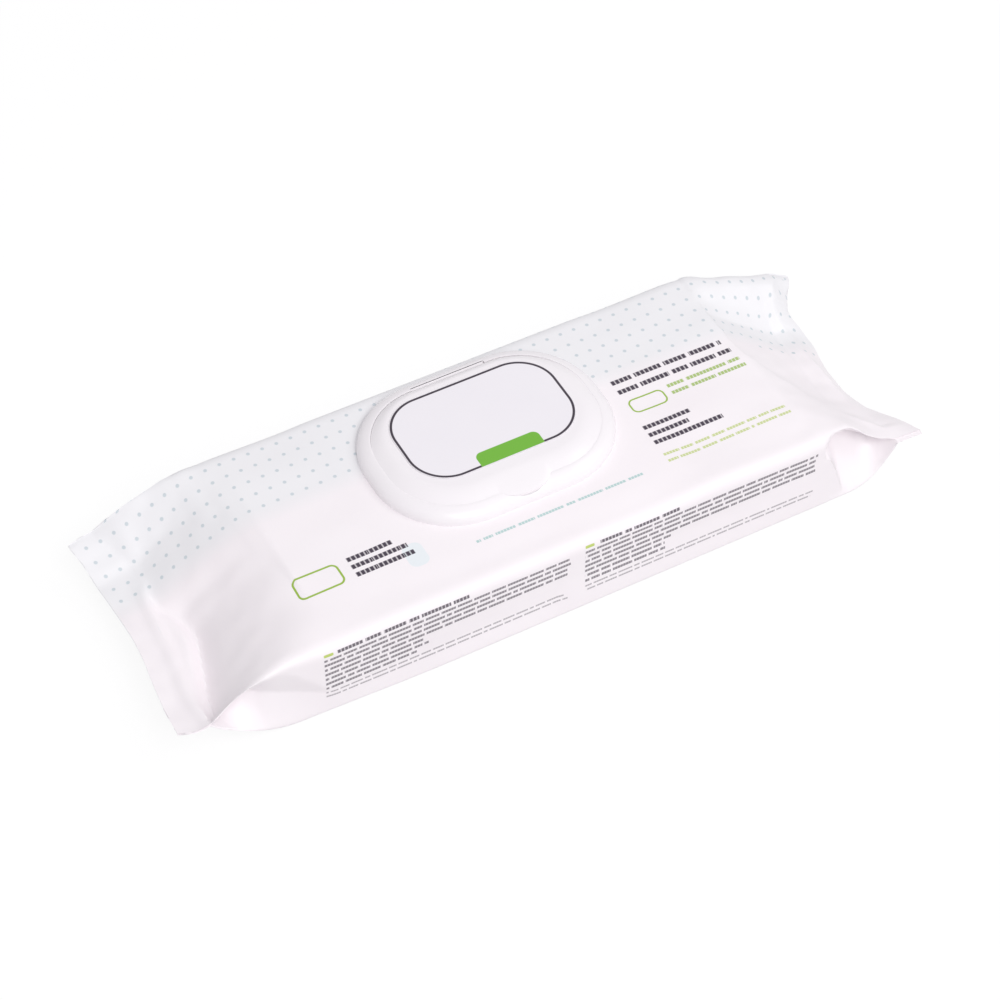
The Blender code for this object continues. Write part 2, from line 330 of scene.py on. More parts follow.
def new_group(name: str, inputs: dict[str, str], outputs: dict[str, str]) -> tuple[Graph, dict, dict]:
    """Start a shader node group.

    Args:
        name: the group's name.
        inputs: name and kind (Float or Vector) of each input.
        outputs: name and kind of each output.

    Returns:
        The group's graph, its input sockets and its output sockets by name.
    """
    tree = bpy.data.node_groups.new(name, "ShaderNodeTree")
    for direction, sockets in (("INPUT", inputs), ("OUTPUT", outputs)):
        for label, kind in sockets.items():
            tree.interface.new_socket(name=label, in_out=direction, socket_type=f"NodeSocket{kind}")
    graph = Graph(tree)
    entry = graph.node("NodeGroupInput")
    exit_node = graph.node("NodeGroupOutput")
    return (
        graph,
        {label: entry.outputs[label] for label in inputs},
        {label: exit_node.inputs[label] for label in outputs},
    )


def grain_group() -> bpy.types.NodeTree:
    """Build the fine unevenness that every finish here has.

    Returns:
        A group with Tone, a broad mottling from 0 to 1, and Height, a fine grain from 0 to 1.
    """
    graph, given, out = new_group(
        "fine_grain",
        {"Place": "Vector", "Broad": "Float", "Fine": "Float"},
        {"Tone": "Float", "Height": "Float"},
    )
    for label, size, detail in (("Tone", "Broad", 2.0), ("Height", "Fine", 3.0)):
        cloud = graph.node("ShaderNodeTexNoise")
        graph.join(given["Place"], cloud.inputs["Vector"])
        graph.join(given[size], cloud.inputs["Scale"])
        graph.join(detail, cloud.inputs["Detail"])
        graph.join(cloud.outputs["Fac"], out[label])
    return graph.tree


def rounded_box_group() -> bpy.types.NodeTree:
    """Build the signed distance to a rounded rectangle, for panels, borders and rings.

    Returns:
        A group with Distance, negative inside the rectangle.
    """
    graph, given, out = new_group(
        "rounded_box",
        {"Place": "Vector", "Centre": "Vector", "Half Core": "Vector", "Corner": "Float"},
        {"Distance": "Float"},
    )
    offset = graph.vector_math("SUBTRACT", given["Place"], given["Centre"]).outputs[0]
    folded = graph.vector_math("ABSOLUTE", offset).outputs[0]
    past = graph.vector_math("SUBTRACT", folded, given["Half Core"]).outputs[0]
    outside = graph.vector_math("MAXIMUM", past, (0.0, 0.0, 0.0)).outputs[0]
    length = graph.vector_math("LENGTH", outside).outputs["Value"]
    parts = graph.node("ShaderNodeSeparateXYZ")
    graph.join(past, parts.inputs[0])
    inside = graph.math("MINIMUM", graph.math("MAXIMUM", parts.outputs[0], parts.outputs[1]), 0.0)
    graph.join(graph.minus(graph.math("ADD", length, inside), given["Corner"]), out["Distance"])
    return graph.tree


def dot_group(edge_width: float) -> bpy.types.NodeTree:
    """Build an even lattice of round dots.

    Args:
        edge_width: softness of a dot's edge.

    Returns:
        A group with Mask, 1 on the dots.
    """
    graph, given, out = new_group(
        "dot_lattice",
        {name: "Float" for name in ("Along", "Across", "Pitch Along", "Pitch Across", "Radius")},
        {"Mask": "Float"},
    )
    offsets = []
    for label in ("Along", "Across"):
        cells = graph.math("DIVIDE", given[label], given[f"Pitch {label}"])
        off = graph.minus(cells, graph.math("ROUND", cells))
        offsets.append(graph.times(off, given[f"Pitch {label}"]))
    squares = [graph.times(off, off) for off in offsets]
    distance = graph.minus(graph.math("SQRT", graph.math("ADD", *squares)), given["Radius"])
    graph.join(graph.edge(distance, edge_width), out["Mask"])
    return graph.tree


def bar_group(edge_width: float, jitter: float, notch_slope: float) -> bpy.types.NodeTree:
    """Build rows of short plain bars, which stand where a pack carries its small print.

    Args:
        edge_width: softness of a bar's edge.
        jitter: how far a gap may move from its even place, as a share of a bar.
        notch_slope: how steeply the pale notch between two ticks ends.

    Returns:
        A group with Mask, 1 on the bars.
    """
    inputs = {"Place": "Vector", **{name: "Float" for name in BAR_INPUTS}}
    graph, given, out = new_group("bar_rows", inputs, {"Mask": "Float"})
    parts = graph.node("ShaderNodeSeparateXYZ")
    graph.join(given["Place"], parts.inputs[0])
    along = graph.minus(parts.outputs[0], given["Left"])
    down = graph.minus(given["Top"], parts.outputs[1])
    rows = graph.math("DIVIDE", down, given["Pitch"])
    row = graph.math("FLOOR", rows)
    middle = graph.minus(graph.minus(rows, row), 0.5)
    off_middle = graph.math("ABSOLUTE", graph.times(middle, given["Pitch"]))
    off_row = graph.minus(off_middle, graph.times(given["Height"], 0.5))
    chances = []
    cell = graph.math("ROUND", graph.math("DIVIDE", along, given["Word"]))
    for first in (0.5, cell):
        seed = graph.node("ShaderNodeCombineXYZ")
        for term, socket in zip((first, row, given["Left"]), seed.inputs):
            graph.join(term, socket)
        chance = graph.node("ShaderNodeTexWhiteNoise", noise_dimensions="3D")
        graph.join(seed.outputs[0], chance.inputs["Vector"])
        chances.append(chance.outputs["Value"])
    end = graph.minus(given["Width"], graph.times(given["Ragged"], chances[0]))
    shift = graph.times(graph.minus(chances[1], 0.5), jitter)
    gap_place = graph.times(graph.math("ADD", cell, shift), given["Word"])
    off_gap = graph.math("ABSOLUTE", graph.minus(along, gap_place))
    in_gap = graph.minus(graph.times(given["Gap"], 0.5), off_gap)
    ticks = graph.math("DIVIDE", along, given["Tick"])
    off_tick = graph.math("ABSOLUTE", graph.minus(ticks, graph.math("ROUND", ticks)))
    in_notch = graph.math("MULTIPLY_ADD", off_tick, -notch_slope, 1.0, clamp=True)
    terms = (
        graph.edge(off_row, edge_width),
        graph.edge(in_gap, edge_width),
        graph.minus(1.0, graph.times(in_notch, given["Notch"])),
        graph.edge(graph.times(along, -1.0), edge_width),
        graph.edge(graph.minus(along, end), edge_width),
        graph.math("GREATER_THAN", rows, 0.0),
        graph.math("LESS_THAN", rows, given["Rows"]),
    )
    mask = terms[0]
    for term in terms[1:]:
        mask = graph.times(mask, term)
    graph.join(mask, out["Mask"])
    return graph.tree


@dataclass(frozen=True)
class Effects:
    """The node groups that the finishes share."""

    grain: bpy.types.NodeTree
    rounded_box: bpy.types.NodeTree
    dots: bpy.types.NodeTree
    bars: bpy.types.NodeTree

    @classmethod
    def build(cls) -> "Effects":
        """Build each group once."""
        bars = bar_group(edge_width=0.18, jitter=0.7, notch_slope=4.5)
        return cls(grain_group(), rounded_box_group(), dot_group(edge_width=0.35), bars)

    def box(
        self, graph: Graph, place: object, centre: Pair, half: Pair, corner: float
    ) -> Socket:
        """Place a rounded rectangle in a material.

        Args:
            graph: the material's graph.
            place: socket of the place in millimetres.
            centre: the rectangle's middle.
            half: its half sizes without the rounding.
            corner: the corners' radius.

        Returns:
            The signed distance to it, negative inside.
        """
        shape = {"Centre": (*centre, 0.0), "Half_Core": (*half, 0.0), "Corner": corner}
        return graph.group(self.rounded_box, Place=place, **shape).outputs["Distance"]


def start_material(name: str) -> tuple[bpy.types.Material, Graph, bpy.types.Node]:
    """Start a material.

    Args:
        name: the material's name.

    Returns:
        The material, its graph and its Principled shader.
    """
    made = bpy.data.materials.new(name)
    made.use_nodes = True
    return made, Graph(made.node_tree), made.node_tree.nodes["Principled BSDF"]


def dress(
    graph: Graph,
    shader: bpy.types.Node,
    colour: object,
    roughness: object,
    height: object,
    bump: Pair,
) -> None:
    """Join a colour, a roughness and a fine relief to a shader.

    Args:
        graph: the material's graph.
        shader: the shader.
        colour: socket of the colour.
        roughness: socket of the roughness.
        height: socket of the relief, from 0 to 1.
        bump: the relief's strength, and its full depth in millimetres.
    """
    graph.join(colour, shader.inputs["Base Color"])
    graph.join(roughness, shader.inputs["Roughness"])
    relief = graph.node("ShaderNodeBump")
    graph.join(bump[0], relief.inputs["Strength"])
    graph.join(bump[1] * MM, relief.inputs["Distance"])
    graph.join(height, relief.inputs["Height"])
    graph.join(relief.outputs["Normal"], shader.inputs["Normal"])


@dataclass(frozen=True)
class BarBlock:
    """One block of bar rows on the film, in film coordinates."""

    left: float
    top: float
    width: float
    pitch: float
    rows: int
    height: float
    word: float
    gap: float
    ragged: float
    ink: Colour
    strength: float = 1.0
    tick: float = 1.9
    notch: float = 0.75


@dataclass(frozen=True)
class FilmFinish:
    """Printed satin film: a dotted strip at the back, and plain marks in place of the pack's print."""

    white: Colour = screen_colour(250, 246, 248)
    blush: Colour = screen_colour(247, 241, 244)
    strip: Colour = screen_colour(240, 240, 242)
    dot: Colour = screen_colour(205, 214, 219)
    ink: Colour = screen_colour(58, 48, 64)
    leaf: Colour = screen_colour(150, 184, 62)
    pale_leaf: Colour = screen_colour(190, 208, 110)
    aqua: Colour = screen_colour(150, 198, 194)
    sky: Colour = screen_colour(235, 241, 244)
    strip_start: float = 13.0
    strip_blend: float = 9.0
    strip_softness: float = 0.2
    first_row_left: float = 21.9
    first_row_right: float = 20.9
    pitch_along: float = 6.08
    pitch_across: float = 6.6
    extra_row_from: float = 129.0
    phase_left: float = -54.5
    phase_right: float = 52.8
    dot_radius: float = 0.74
    front_start: float = -54.6
    ring_edge: float = 0.2
    mark_edge: float = 0.3
    roughness: Pair = (0.33, 0.45)
    bump: Pair = (0.25, 0.12)

    def blocks(self) -> tuple[BarBlock, ...]:
        """List the blocks of bars.

        Returns:
            The blocks of the top's right part, of its left part and of the front face.
        """
        top_right = (
            BarBlock(57.0, 16.6, 52.0, 5.5, 2, 2.3, 12.0, 1.5, 2.0, self.ink),
            BarBlock(56.2, -10.6, 21.0, 4.2, 1, 2.1, 30.0, 0.1, 0.0, self.ink),
            BarBlock(56.2, -14.9, 18.0, 4.2, 1, 2.1, 30.0, 0.1, 0.0, self.ink),
            BarBlock(56.2, -19.2, 31.0, 4.2, 1, 2.1, 40.0, 0.1, 0.0, self.ink),
            BarBlock(76.0, 4.6, 34.0, 3.9, 2, 1.7, 12.0, 1.2, 2.0, self.leaf, 0.85, 1.5),
            BarBlock(56.2, -26.6, 57.0, 3.6, 2, 1.3, 7.0, 1.0, 2.0, self.pale_leaf, 0.8, 1.3),
        )
        top_left = (
            BarBlock(-75.6, -15.6, 19.0, 4.1, 1, 2.2, 30.0, 0.1, 0.0, self.ink),
            BarBlock(-75.6, -19.7, 23.5, 4.1, 1, 2.2, 30.0, 0.1, 0.0, self.ink),
            BarBlock(-75.6, -23.8, 24.5, 4.1, 1, 2.2, 30.0, 0.1, 0.0, self.ink),
            BarBlock(-28.5, -31.8, 73.5, 2.4, 1, 1.2, 9.0, 1.2, 1.0, self.aqua, 0.75, 1.3),
        )
        fronts = []
        for left, heading, short in ((-102.6, 56.0, 46.0), (8.0, 36.0, 40.0)):
            top = self.front_start + 2.0
            fronts += (
                BarBlock(left + 5.6, top, heading, 3.0, 1, 1.6, 9.0, 1.1, 1.0, self.ink, 0.9, 1.5),
                BarBlock(left, top - 3.0, 105.0, 2.7, 4, 1.3, 7.0, 0.9, 2.5, self.ink, 0.8, 1.2, 0.42),
                BarBlock(left, top - 13.8, short, 2.7, 3, 1.3, 7.0, 0.9, 9.0, self.ink, 0.8, 1.2, 0.42),
                BarBlock(left, top - 22.4, 104.0, 2.1, 2, 0.8, 5.0, 0.8, 4.0, self.ink, 0.55, 1.0, 0.35),
            )
        return (*top_right, *top_left, *fronts)

    def build(self, effects: Effects) -> bpy.types.Material:
        """Build the film's material.

        Args:
            effects: the shared node groups.

        Returns:
            The material, which reads the film's own UV map.
        """
        made, graph, shader = start_material("printed_film")
        film_map = graph.node("ShaderNodeUVMap", uv_map="film")
        centred = graph.vector_math("SUBTRACT", film_map.outputs[0], (0.5, 0.5, 0.0)).outputs[0]
        place = graph.vector_math("MULTIPLY", centred, (FILM_UNIT, FILM_UNIT, 0.0)).outputs[0]
        parts = graph.node("ShaderNodeSeparateXYZ")
        graph.join(place, parts.inputs[0])
        along, across = parts.outputs[0], parts.outputs[1]
        grain = graph.group(effects.grain, Place=place, Broad=0.02, Fine=1.4)
        colour = graph.mix(grain.outputs["Tone"], self.white, self.blush)
        strip = graph.minus(across, self.strip_start)
        strip = graph.math("DIVIDE", strip, self.strip_blend, clamp=True)
        colour = graph.mix(graph.math("SMOOTH_MIN", strip, 1.0, self.strip_softness), colour, self.strip)
        right_half = graph.math("GREATER_THAN", along, 0.0)
        phase = graph.span(right_half, self.phase_left, self.phase_right)
        first_row = graph.span(right_half, self.first_row_left, self.first_row_right)
        dots = graph.group(
            effects.dots,
            Along=graph.minus(along, phase),
            Across=graph.minus(across, first_row),
            Pitch_Along=self.pitch_along,
            Pitch_Across=self.pitch_across,
            Radius=self.dot_radius,
        )
        extra = graph.times(graph.math("GREATER_THAN", along, self.extra_row_from), self.pitch_across)
        lowest = graph.minus(graph.minus(first_row, self.pitch_across / 2), extra)
        dotted = graph.math("GREATER_THAN", across, lowest)
        colour = graph.mix(graph.times(dots.outputs["Mask"], dotted), colour, self.dot)
        colour = self._plain_marks(graph, effects, place, colour)
        for block in self.blocks():
            values = {name: float(getattr(block, name.lower())) for name in BAR_INPUTS}
            mask = graph.group(effects.bars, Place=place, **values).outputs["Mask"]
            if block.strength < 1:
                mask = graph.times(mask, block.strength)
            colour = graph.mix(mask, colour, block.ink)
        roughness = graph.span(grain.outputs["Height"], *self.roughness)
        dress(graph, shader, colour, roughness, grain.outputs["Height"], self.bump)
        return made

    def _plain_marks(self, graph: Graph, effects: Effects, place: object, colour: object) -> object:
        """Add the green outlines, the small green tags and the pale rounded mark.

        Args:
            graph: the material's graph.
            effects: the shared node groups.
            place: socket of the place on the film.
            colour: socket of the film's colour so far.

        Returns:
            The colour with the marks.
        """
        tag_top = self.front_start + 0.5
        marks = (
            ((-89.6, -21.9), (6.9, 2.5), 2.4, 0.42, self.leaf),
            ((65.4, -0.8), (5.2, 1.1), 2.4, 0.35, self.leaf),
            ((-100.6, tag_top), (1.5, 0.25), 0.45, None, self.pale_leaf),
            ((10.0, tag_top), (1.5, 0.25), 0.45, None, self.pale_leaf),
            ((-51.5, -27.6), (0.9, 2.6), 3.2, None, self.sky),
        )
        for centre, half, corner, stroke, ink in marks:
            distance = effects.box(graph, place, centre, half, corner)
            edge = self.mark_edge
            if stroke is not None:
                distance = graph.minus(graph.math("ABSOLUTE", distance), stroke)
                edge = self.ring_edge
            colour = graph.mix(graph.edge(distance, edge), colour, ink)
        return colour


@dataclass(frozen=True)
class LidFinish:
    """Glossy moulded plastic, slightly uneven in gloss."""

    light: Colour = screen_colour(246, 243, 245)
    shade: Colour = screen_colour(243, 239, 242)
    roughness: Pair = (0.20, 0.28)
    bump: Pair = (0.12, 0.02)

    def build(self, effects: Effects) -> bpy.types.Material:
        """Build the lid's material.

        Args:
            effects: the shared node groups.

        Returns:
            The material, on Object coordinates.
        """
        made, graph, shader = start_material("moulded_lid")
        place = graph.node("ShaderNodeTexCoord").outputs["Object"]
        grain = graph.group(effects.grain, Place=place, Broad=28.0, Fine=2600.0)
        colour = graph.mix(grain.outputs["Tone"], self.light, self.shade)
        roughness = graph.span(grain.outputs["Tone"], *self.roughness)
        dress(graph, shader, colour, roughness, grain.outputs["Height"], self.bump)
        return made


@dataclass(frozen=True)
class LabelFinish:
    """Printed paper-like label: a pale field, a dark border line and a bare green tab."""

    centre: Pair
    half: Pair
    corner: float
    field_colour: Colour = screen_colour(243, 240, 244)
    field_shade: Colour = screen_colour(240, 237, 242)
    border: Colour = screen_colour(52, 42, 55)
    tab: Colour = screen_colour(112, 180, 52)
    border_inset: float = 0.75
    border_half_width: float = 0.5
    tab_centre_x: float = 1.7
    tab_half_width: float = 13.7
    tab_height: float = 7.3
    tab_corner: float = 2.8
    ink_edge: float = 0.15
    roughness: Pair = (0.34, 0.44)
    bump: Pair = (0.1, 0.02)

    def build(self, effects: Effects) -> bpy.types.Material:
        """Build the label's material.

        Args:
            effects: the shared node groups.

        Returns:
            The material, on Object coordinates.
        """
        made, graph, shader = start_material("printed_label")
        coordinates = graph.node("ShaderNodeTexCoord").outputs["Object"]
        flat = graph.vector_math("MULTIPLY", coordinates, (1 / MM, 1 / MM, 0.0)).outputs[0]
        grain = graph.group(effects.grain, Place=flat, Broad=0.05, Fine=3.0)
        colour = graph.mix(grain.outputs["Tone"], self.field_colour, self.field_shade)
        core = (self.half[0] - self.corner, self.half[1] - self.corner)
        outline = effects.box(graph, flat, self.centre, core, self.corner - self.border_inset)
        tab_core = (self.tab_half_width - self.tab_corner, self.tab_height - self.tab_corner)
        tab_centre = (self.tab_centre_x, self.centre[1] - self.half[1])
        tab = effects.box(graph, flat, tab_centre, tab_core, self.tab_corner)
        inside = graph.edge(graph.minus(outline, self.border_half_width), self.ink_edge)
        tab_mask = graph.times(graph.edge(tab, self.ink_edge), inside)
        colour = graph.mix(tab_mask, colour, self.tab)
        line = graph.minus(graph.math("ABSOLUTE", outline), self.border_half_width)
        line_mask = graph.times(graph.edge(line, self.ink_edge), graph.minus(1.0, tab_mask))
        colour = graph.mix(line_mask, colour, self.border)
        roughness = graph.span(grain.outputs["Height"], *self.roughness)
        dress(graph, shader, colour, roughness, grain.outputs["Height"], self.bump)
        return made


@dataclass(frozen=True)
class WipeFinish:
    """Damp non-woven cloth: tangled fibres and rows of small embossed dimples."""

    light: Colour = screen_colour(249, 249, 248)
    shade: Colour = screen_colour(232, 234, 235)
    roughness: Pair = (0.72, 0.92)
    dimple_pitch: float = 2.4
    dimple_radius: float = 0.45
    bump: Pair = (0.6, 0.25)

    def build(self, effects: Effects) -> bpy.types.Material:
        """Build the wipes' material.

        Args:
            effects: the shared node groups.

        Returns:
            The material, on Object coordinates.
        """
        made, graph, shader = start_material("wipe_cloth")
        coordinates = graph.node("ShaderNodeTexCoord").outputs["Object"]
        place = graph.vector_math("MULTIPLY", coordinates, (1 / MM, 1 / MM, 1 / MM)).outputs[0]
        grain = graph.group(effects.grain, Place=place, Broad=0.12, Fine=2.6)
        parts = graph.node("ShaderNodeSeparateXYZ")
        graph.join(place, parts.inputs[0])
        dimples = graph.group(
            effects.dots,
            Along=parts.outputs[0],
            Across=parts.outputs[1],
            Pitch_Along=self.dimple_pitch,
            Pitch_Across=self.dimple_pitch,
            Radius=self.dimple_radius,
        )
        relief = graph.minus(grain.outputs["Height"], dimples.outputs["Mask"])
        colour = graph.mix(grain.outputs["Height"], self.shade, self.light)
        dress(graph, shader, colour, graph.span(grain.outputs["Tone"], *self.roughness), relief, self.bump)
        return made


# Modelling by hand


def deselect_all() -> None:
    """Deselect every object."""
    for other in bpy.context.view_layer.objects:
        other.select_set(False)


def make_active(made: bpy.types.Object) -> None:
    """Select one object alone and make it active.

    Args:
        made: the object.
    """
    deselect_all()
    made.select_set(True)
    bpy.context.view_layer.objects.active = made


def add_block(name: str, low: Vector, high: Vector) -> bpy.types.Object:
    """Add a cube at its size and place.

    Args:
        name: the new piece's name.
        low: lowest corner in millimetres.
        high: highest corner in millimetres.

    Returns:
        The new object, with its place and size in its mesh.
    """
    deselect_all()
    bpy.ops.mesh.primitive_cube_add(size=1.0, location=(low + high) / 2 * MM, scale=(high - low) * MM)
    made = bpy.context.object
    made.name = name
    made.data.name = name
    bpy.ops.object.transform_apply(location=True, rotation=True, scale=True)
    return made


def apply_modifier(made: bpy.types.Object, kind: str, **settings: object) -> None:
    """Add a modifier and apply it.

    Args:
        made: the object.
        kind: Blender's name of the modifier type.
        **settings: properties to set on it.
    """
    make_active(made)
    step = made.modifiers.new(kind.lower(), kind)
    for name, value in settings.items():
        setattr(step, name, value)
    bpy.ops.object.modifier_apply(modifier=step.name)


def cut_away(made: bpy.types.Object, tool: bpy.types.Object, solver: str = "EXACT") -> None:
    """Cut a tool's shape out of an object, and remove the tool."""
    apply_modifier(made, "BOOLEAN", operation="DIFFERENCE", solver=solver, object=tool)
    bpy.data.objects.remove(tool, do_unlink=True)


def finish_piece(made: bpy.types.Object, finish: bpy.types.Material, angle: float) -> None:
    """Give a piece its one material and smooth shading.

    Args:
        made: the piece.
        finish: its material.
        angle: the greatest angle that is shaded smooth, in degrees.
    """
    made.data.materials.clear()
    made.data.materials.append(finish)
    for face in made.data.polygons:
        face.material_index = 0
    make_active(made)
    bpy.ops.object.shade_smooth_by_angle(angle=math.radians(angle))


def settle(
    made: bpy.types.Object, finish: bpy.types.Material, angle: float, body: Body, node: str = ""
) -> bpy.types.Object:
    """Finish a piece, and say which body carries it, what it is made of and which node it stands for.

    Args:
        made: the piece.
        finish: its material.
        angle: the greatest angle that is shaded smooth, in degrees.
        body: the body it rides on.
        node: the frame's node that it replaces, if any.

    Returns:
        The piece.
    """
    finish_piece(made, finish, angle)
    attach(made, body.value)
    if node:
        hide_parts(node)
    return made


class EditSession:
    """Edit mode on one object, with selection by place."""

    def __init__(self, made: bpy.types.Object) -> None:
        """Keep the object to edit."""
        self.made = made

    def __enter__(self) -> "EditSession":
        """Open edit mode on faces.

        Returns:
            The session.
        """
        make_active(self.made)
        bpy.ops.object.mode_set(mode="EDIT")
        bpy.ops.mesh.select_mode(type="FACE")
        return self

    def __exit__(self, *problem: object) -> None:
        """Close edit mode."""
        bpy.ops.object.mode_set(mode="OBJECT")

    def _select(self, kind: str, wanted: Callable[[object], bool]) -> None:
        """Select some edges or faces.

        Args:
            kind: EDGE or FACE.
            wanted: tells whether one of them is selected.
        """
        bpy.ops.mesh.select_mode(type=kind)
        bpy.ops.mesh.select_all(action="DESELECT")
        mesh = bmesh.from_edit_mesh(self.made.data)
        for item in mesh.edges if kind == "EDGE" else mesh.faces:
            if wanted(item):
                item.select_set(True)
        bmesh.update_edit_mesh(self.made.data)

    def select_edges(self, test: Callable[[Vector, Vector], bool]) -> None:
        """Select the edges for which a test of their two ends in millimetres is true."""
        self._select("EDGE", lambda edge: test(edge.verts[0].co / MM, edge.verts[1].co / MM))

    def select_faces(self, test: Callable[[Vector, Vector], bool]) -> None:
        """Select the faces for which a test of their middle in millimetres and normal is true."""
        self._select("FACE", lambda face: test(face.calc_center_median() / MM, face.normal))

    def inset(self, inward: float, outward: float) -> None:
        """Inset the selected face and move it along its normal, both in millimetres."""
        bpy.ops.mesh.inset(thickness=inward * MM, depth=outward * MM, use_even_offset=True)

    def shift(self, across: float) -> None:
        """Move what is selected along Y, in millimetres."""
        bpy.ops.transform.translate(value=(0.0, across * MM, 0.0))

    def stretch(self, factor: float, middle_y: float) -> None:
        """Stretch what is selected along Y about a line, given in millimetres."""
        bpy.ops.transform.resize(value=(1.0, factor, 1.0), center_override=(0.0, middle_y * MM, 0.0))


def round_plan(
    session: EditSession, corner: float, height: float, corner_steps: int, side_steps: int
) -> None:
    """Round a block's upright edges and divide its long sides.

    Args:
        session: the block in edit mode.
        corner: the corners' radius.
        height: the block's height.
        corner_steps: segments of each corner.
        side_steps: parts of each long side.
    """
    session.select_edges(lambda a, b: abs(abs(a.z - b.z) - height) < 0.01)
    bpy.ops.mesh.bevel(
        offset=corner * MM, offset_type="OFFSET", segments=corner_steps, profile=0.5, affect="EDGES"
    )
    session.select_edges(
        lambda a, b: abs(a.y - b.y) < 0.01 and abs(a.z - b.z) < 0.01 and abs(a.x - b.x) > LONG_EDGE
    )
    bpy.ops.mesh.subdivide(number_cuts=side_steps - 1)


# Film wrapper


@dataclass(frozen=True)
class PackEnd:
    """One sealed end of the film wrapper, with distances measured from the pack's middle.

    The film slopes down from the block of wipes to the crimped seal, and its sides tuck in between.

    Curves named seal give the seal's edges and its height by place across. Curves named pull narrow the
    top's edges by distance, and a crease gives the tuck's depth and height by distance. A knee says how far
    up a side its tuck is already complete, and the lip is the small step where the seal starts. The base
    stays on the floor up to base_start.
    """

    side: int
    height: float
    half_width: float
    seal_inner: Curve
    seal_outer: Curve
    seal_outer_z: Curve
    front_pull: Curve
    back_pull: Curve
    front_crease: tuple[Triple, ...]
    back_crease: tuple[Triple, ...]
    base_start: float
    base_power: float
    front_knee: Curve
    upper_knee: Curve = ((0.0, 1.0), (1.0, 1.0))
    lip: Curve = ((0.0, 0.0), (1.0, 0.0))
    lip_reach: float = 2.6
    seal_thickness: float = 0.7
    bulge_fade: Pair = (100.0, 135.0)
    seal_pull: Pair = (0.0, 0.0)
    base_fade: Pair = (400.0, 500.0)
    true_rows_from: float | None = None
    start: float = 90.0

    def top(self, away: Array, across: Array) -> Array:
        """Return the height of the top film at a distance from the middle and a place across."""
        raise NotImplementedError

    def inner(self, across: Array) -> Array:
        """Return how far from the middle the seal starts."""
        return eased(self.seal_inner, across)

    def base(self, away: Array, across: Array) -> Array:
        """Return the height of the film underneath.

        Args:
            away: distances from the pack's middle.
            across: places across the pack.

        Returns:
            Heights, from 0 on the floor up to the seal's underside.
        """
        inner = self.inner(across)
        seal_z = self.top(inner, across) - self.seal_thickness
        share = np.clip((away - self.base_start) / (inner - self.base_start), 0.0, 1.0)
        return seal_z * share ** self.base_power

    def seal(self, away: Array, across: Array) -> Array:
        """Return the height of the crimped seal's middle layer.

        Args:
            away: distances from the pack's middle.
            across: places across the pack.

        Returns:
            Heights above the floor.
        """
        inner, outer, lip = self.inner(across), eased(self.seal_outer, across), eased(self.lip, across)
        half = self.seal_thickness / 2
        inner_z, outer_z = self.top(inner, across) - lip - half, eased(self.seal_outer_z, across) - half
        drop = between(inner_z, outer_z, np.clip((away - inner) / (outer - inner), 0.0, 1.0))
        return drop + lip * np.exp(-(((away - inner) / self.lip_reach) ** 2))

    def tucked(
        self, away: Array, across: Array, level: Array, share: float, room: float
    ) -> Array:
        """Keep tucked film between the two layers of film, or inside the seal.

        Args:
            away: distances from the pack's middle.
            across: the tucked film's places across.
            level: the heights it would like to have.
            share: the part of the height it keeps clear of each layer.
            room: a further distance it keeps clear of each layer.

        Returns:
            Its heights.
        """
        near = np.minimum(away, self.inner(across))
        low, high = self.base(near, across), self.top(near, across)
        middle, free = (low + high) / 2, np.maximum((high - low) * (0.5 - share) - room, 0.0)
        inside = middle + np.clip(level - middle, -free, free)
        return np.where(away < self.inner(across), inside, self.seal(away, across))


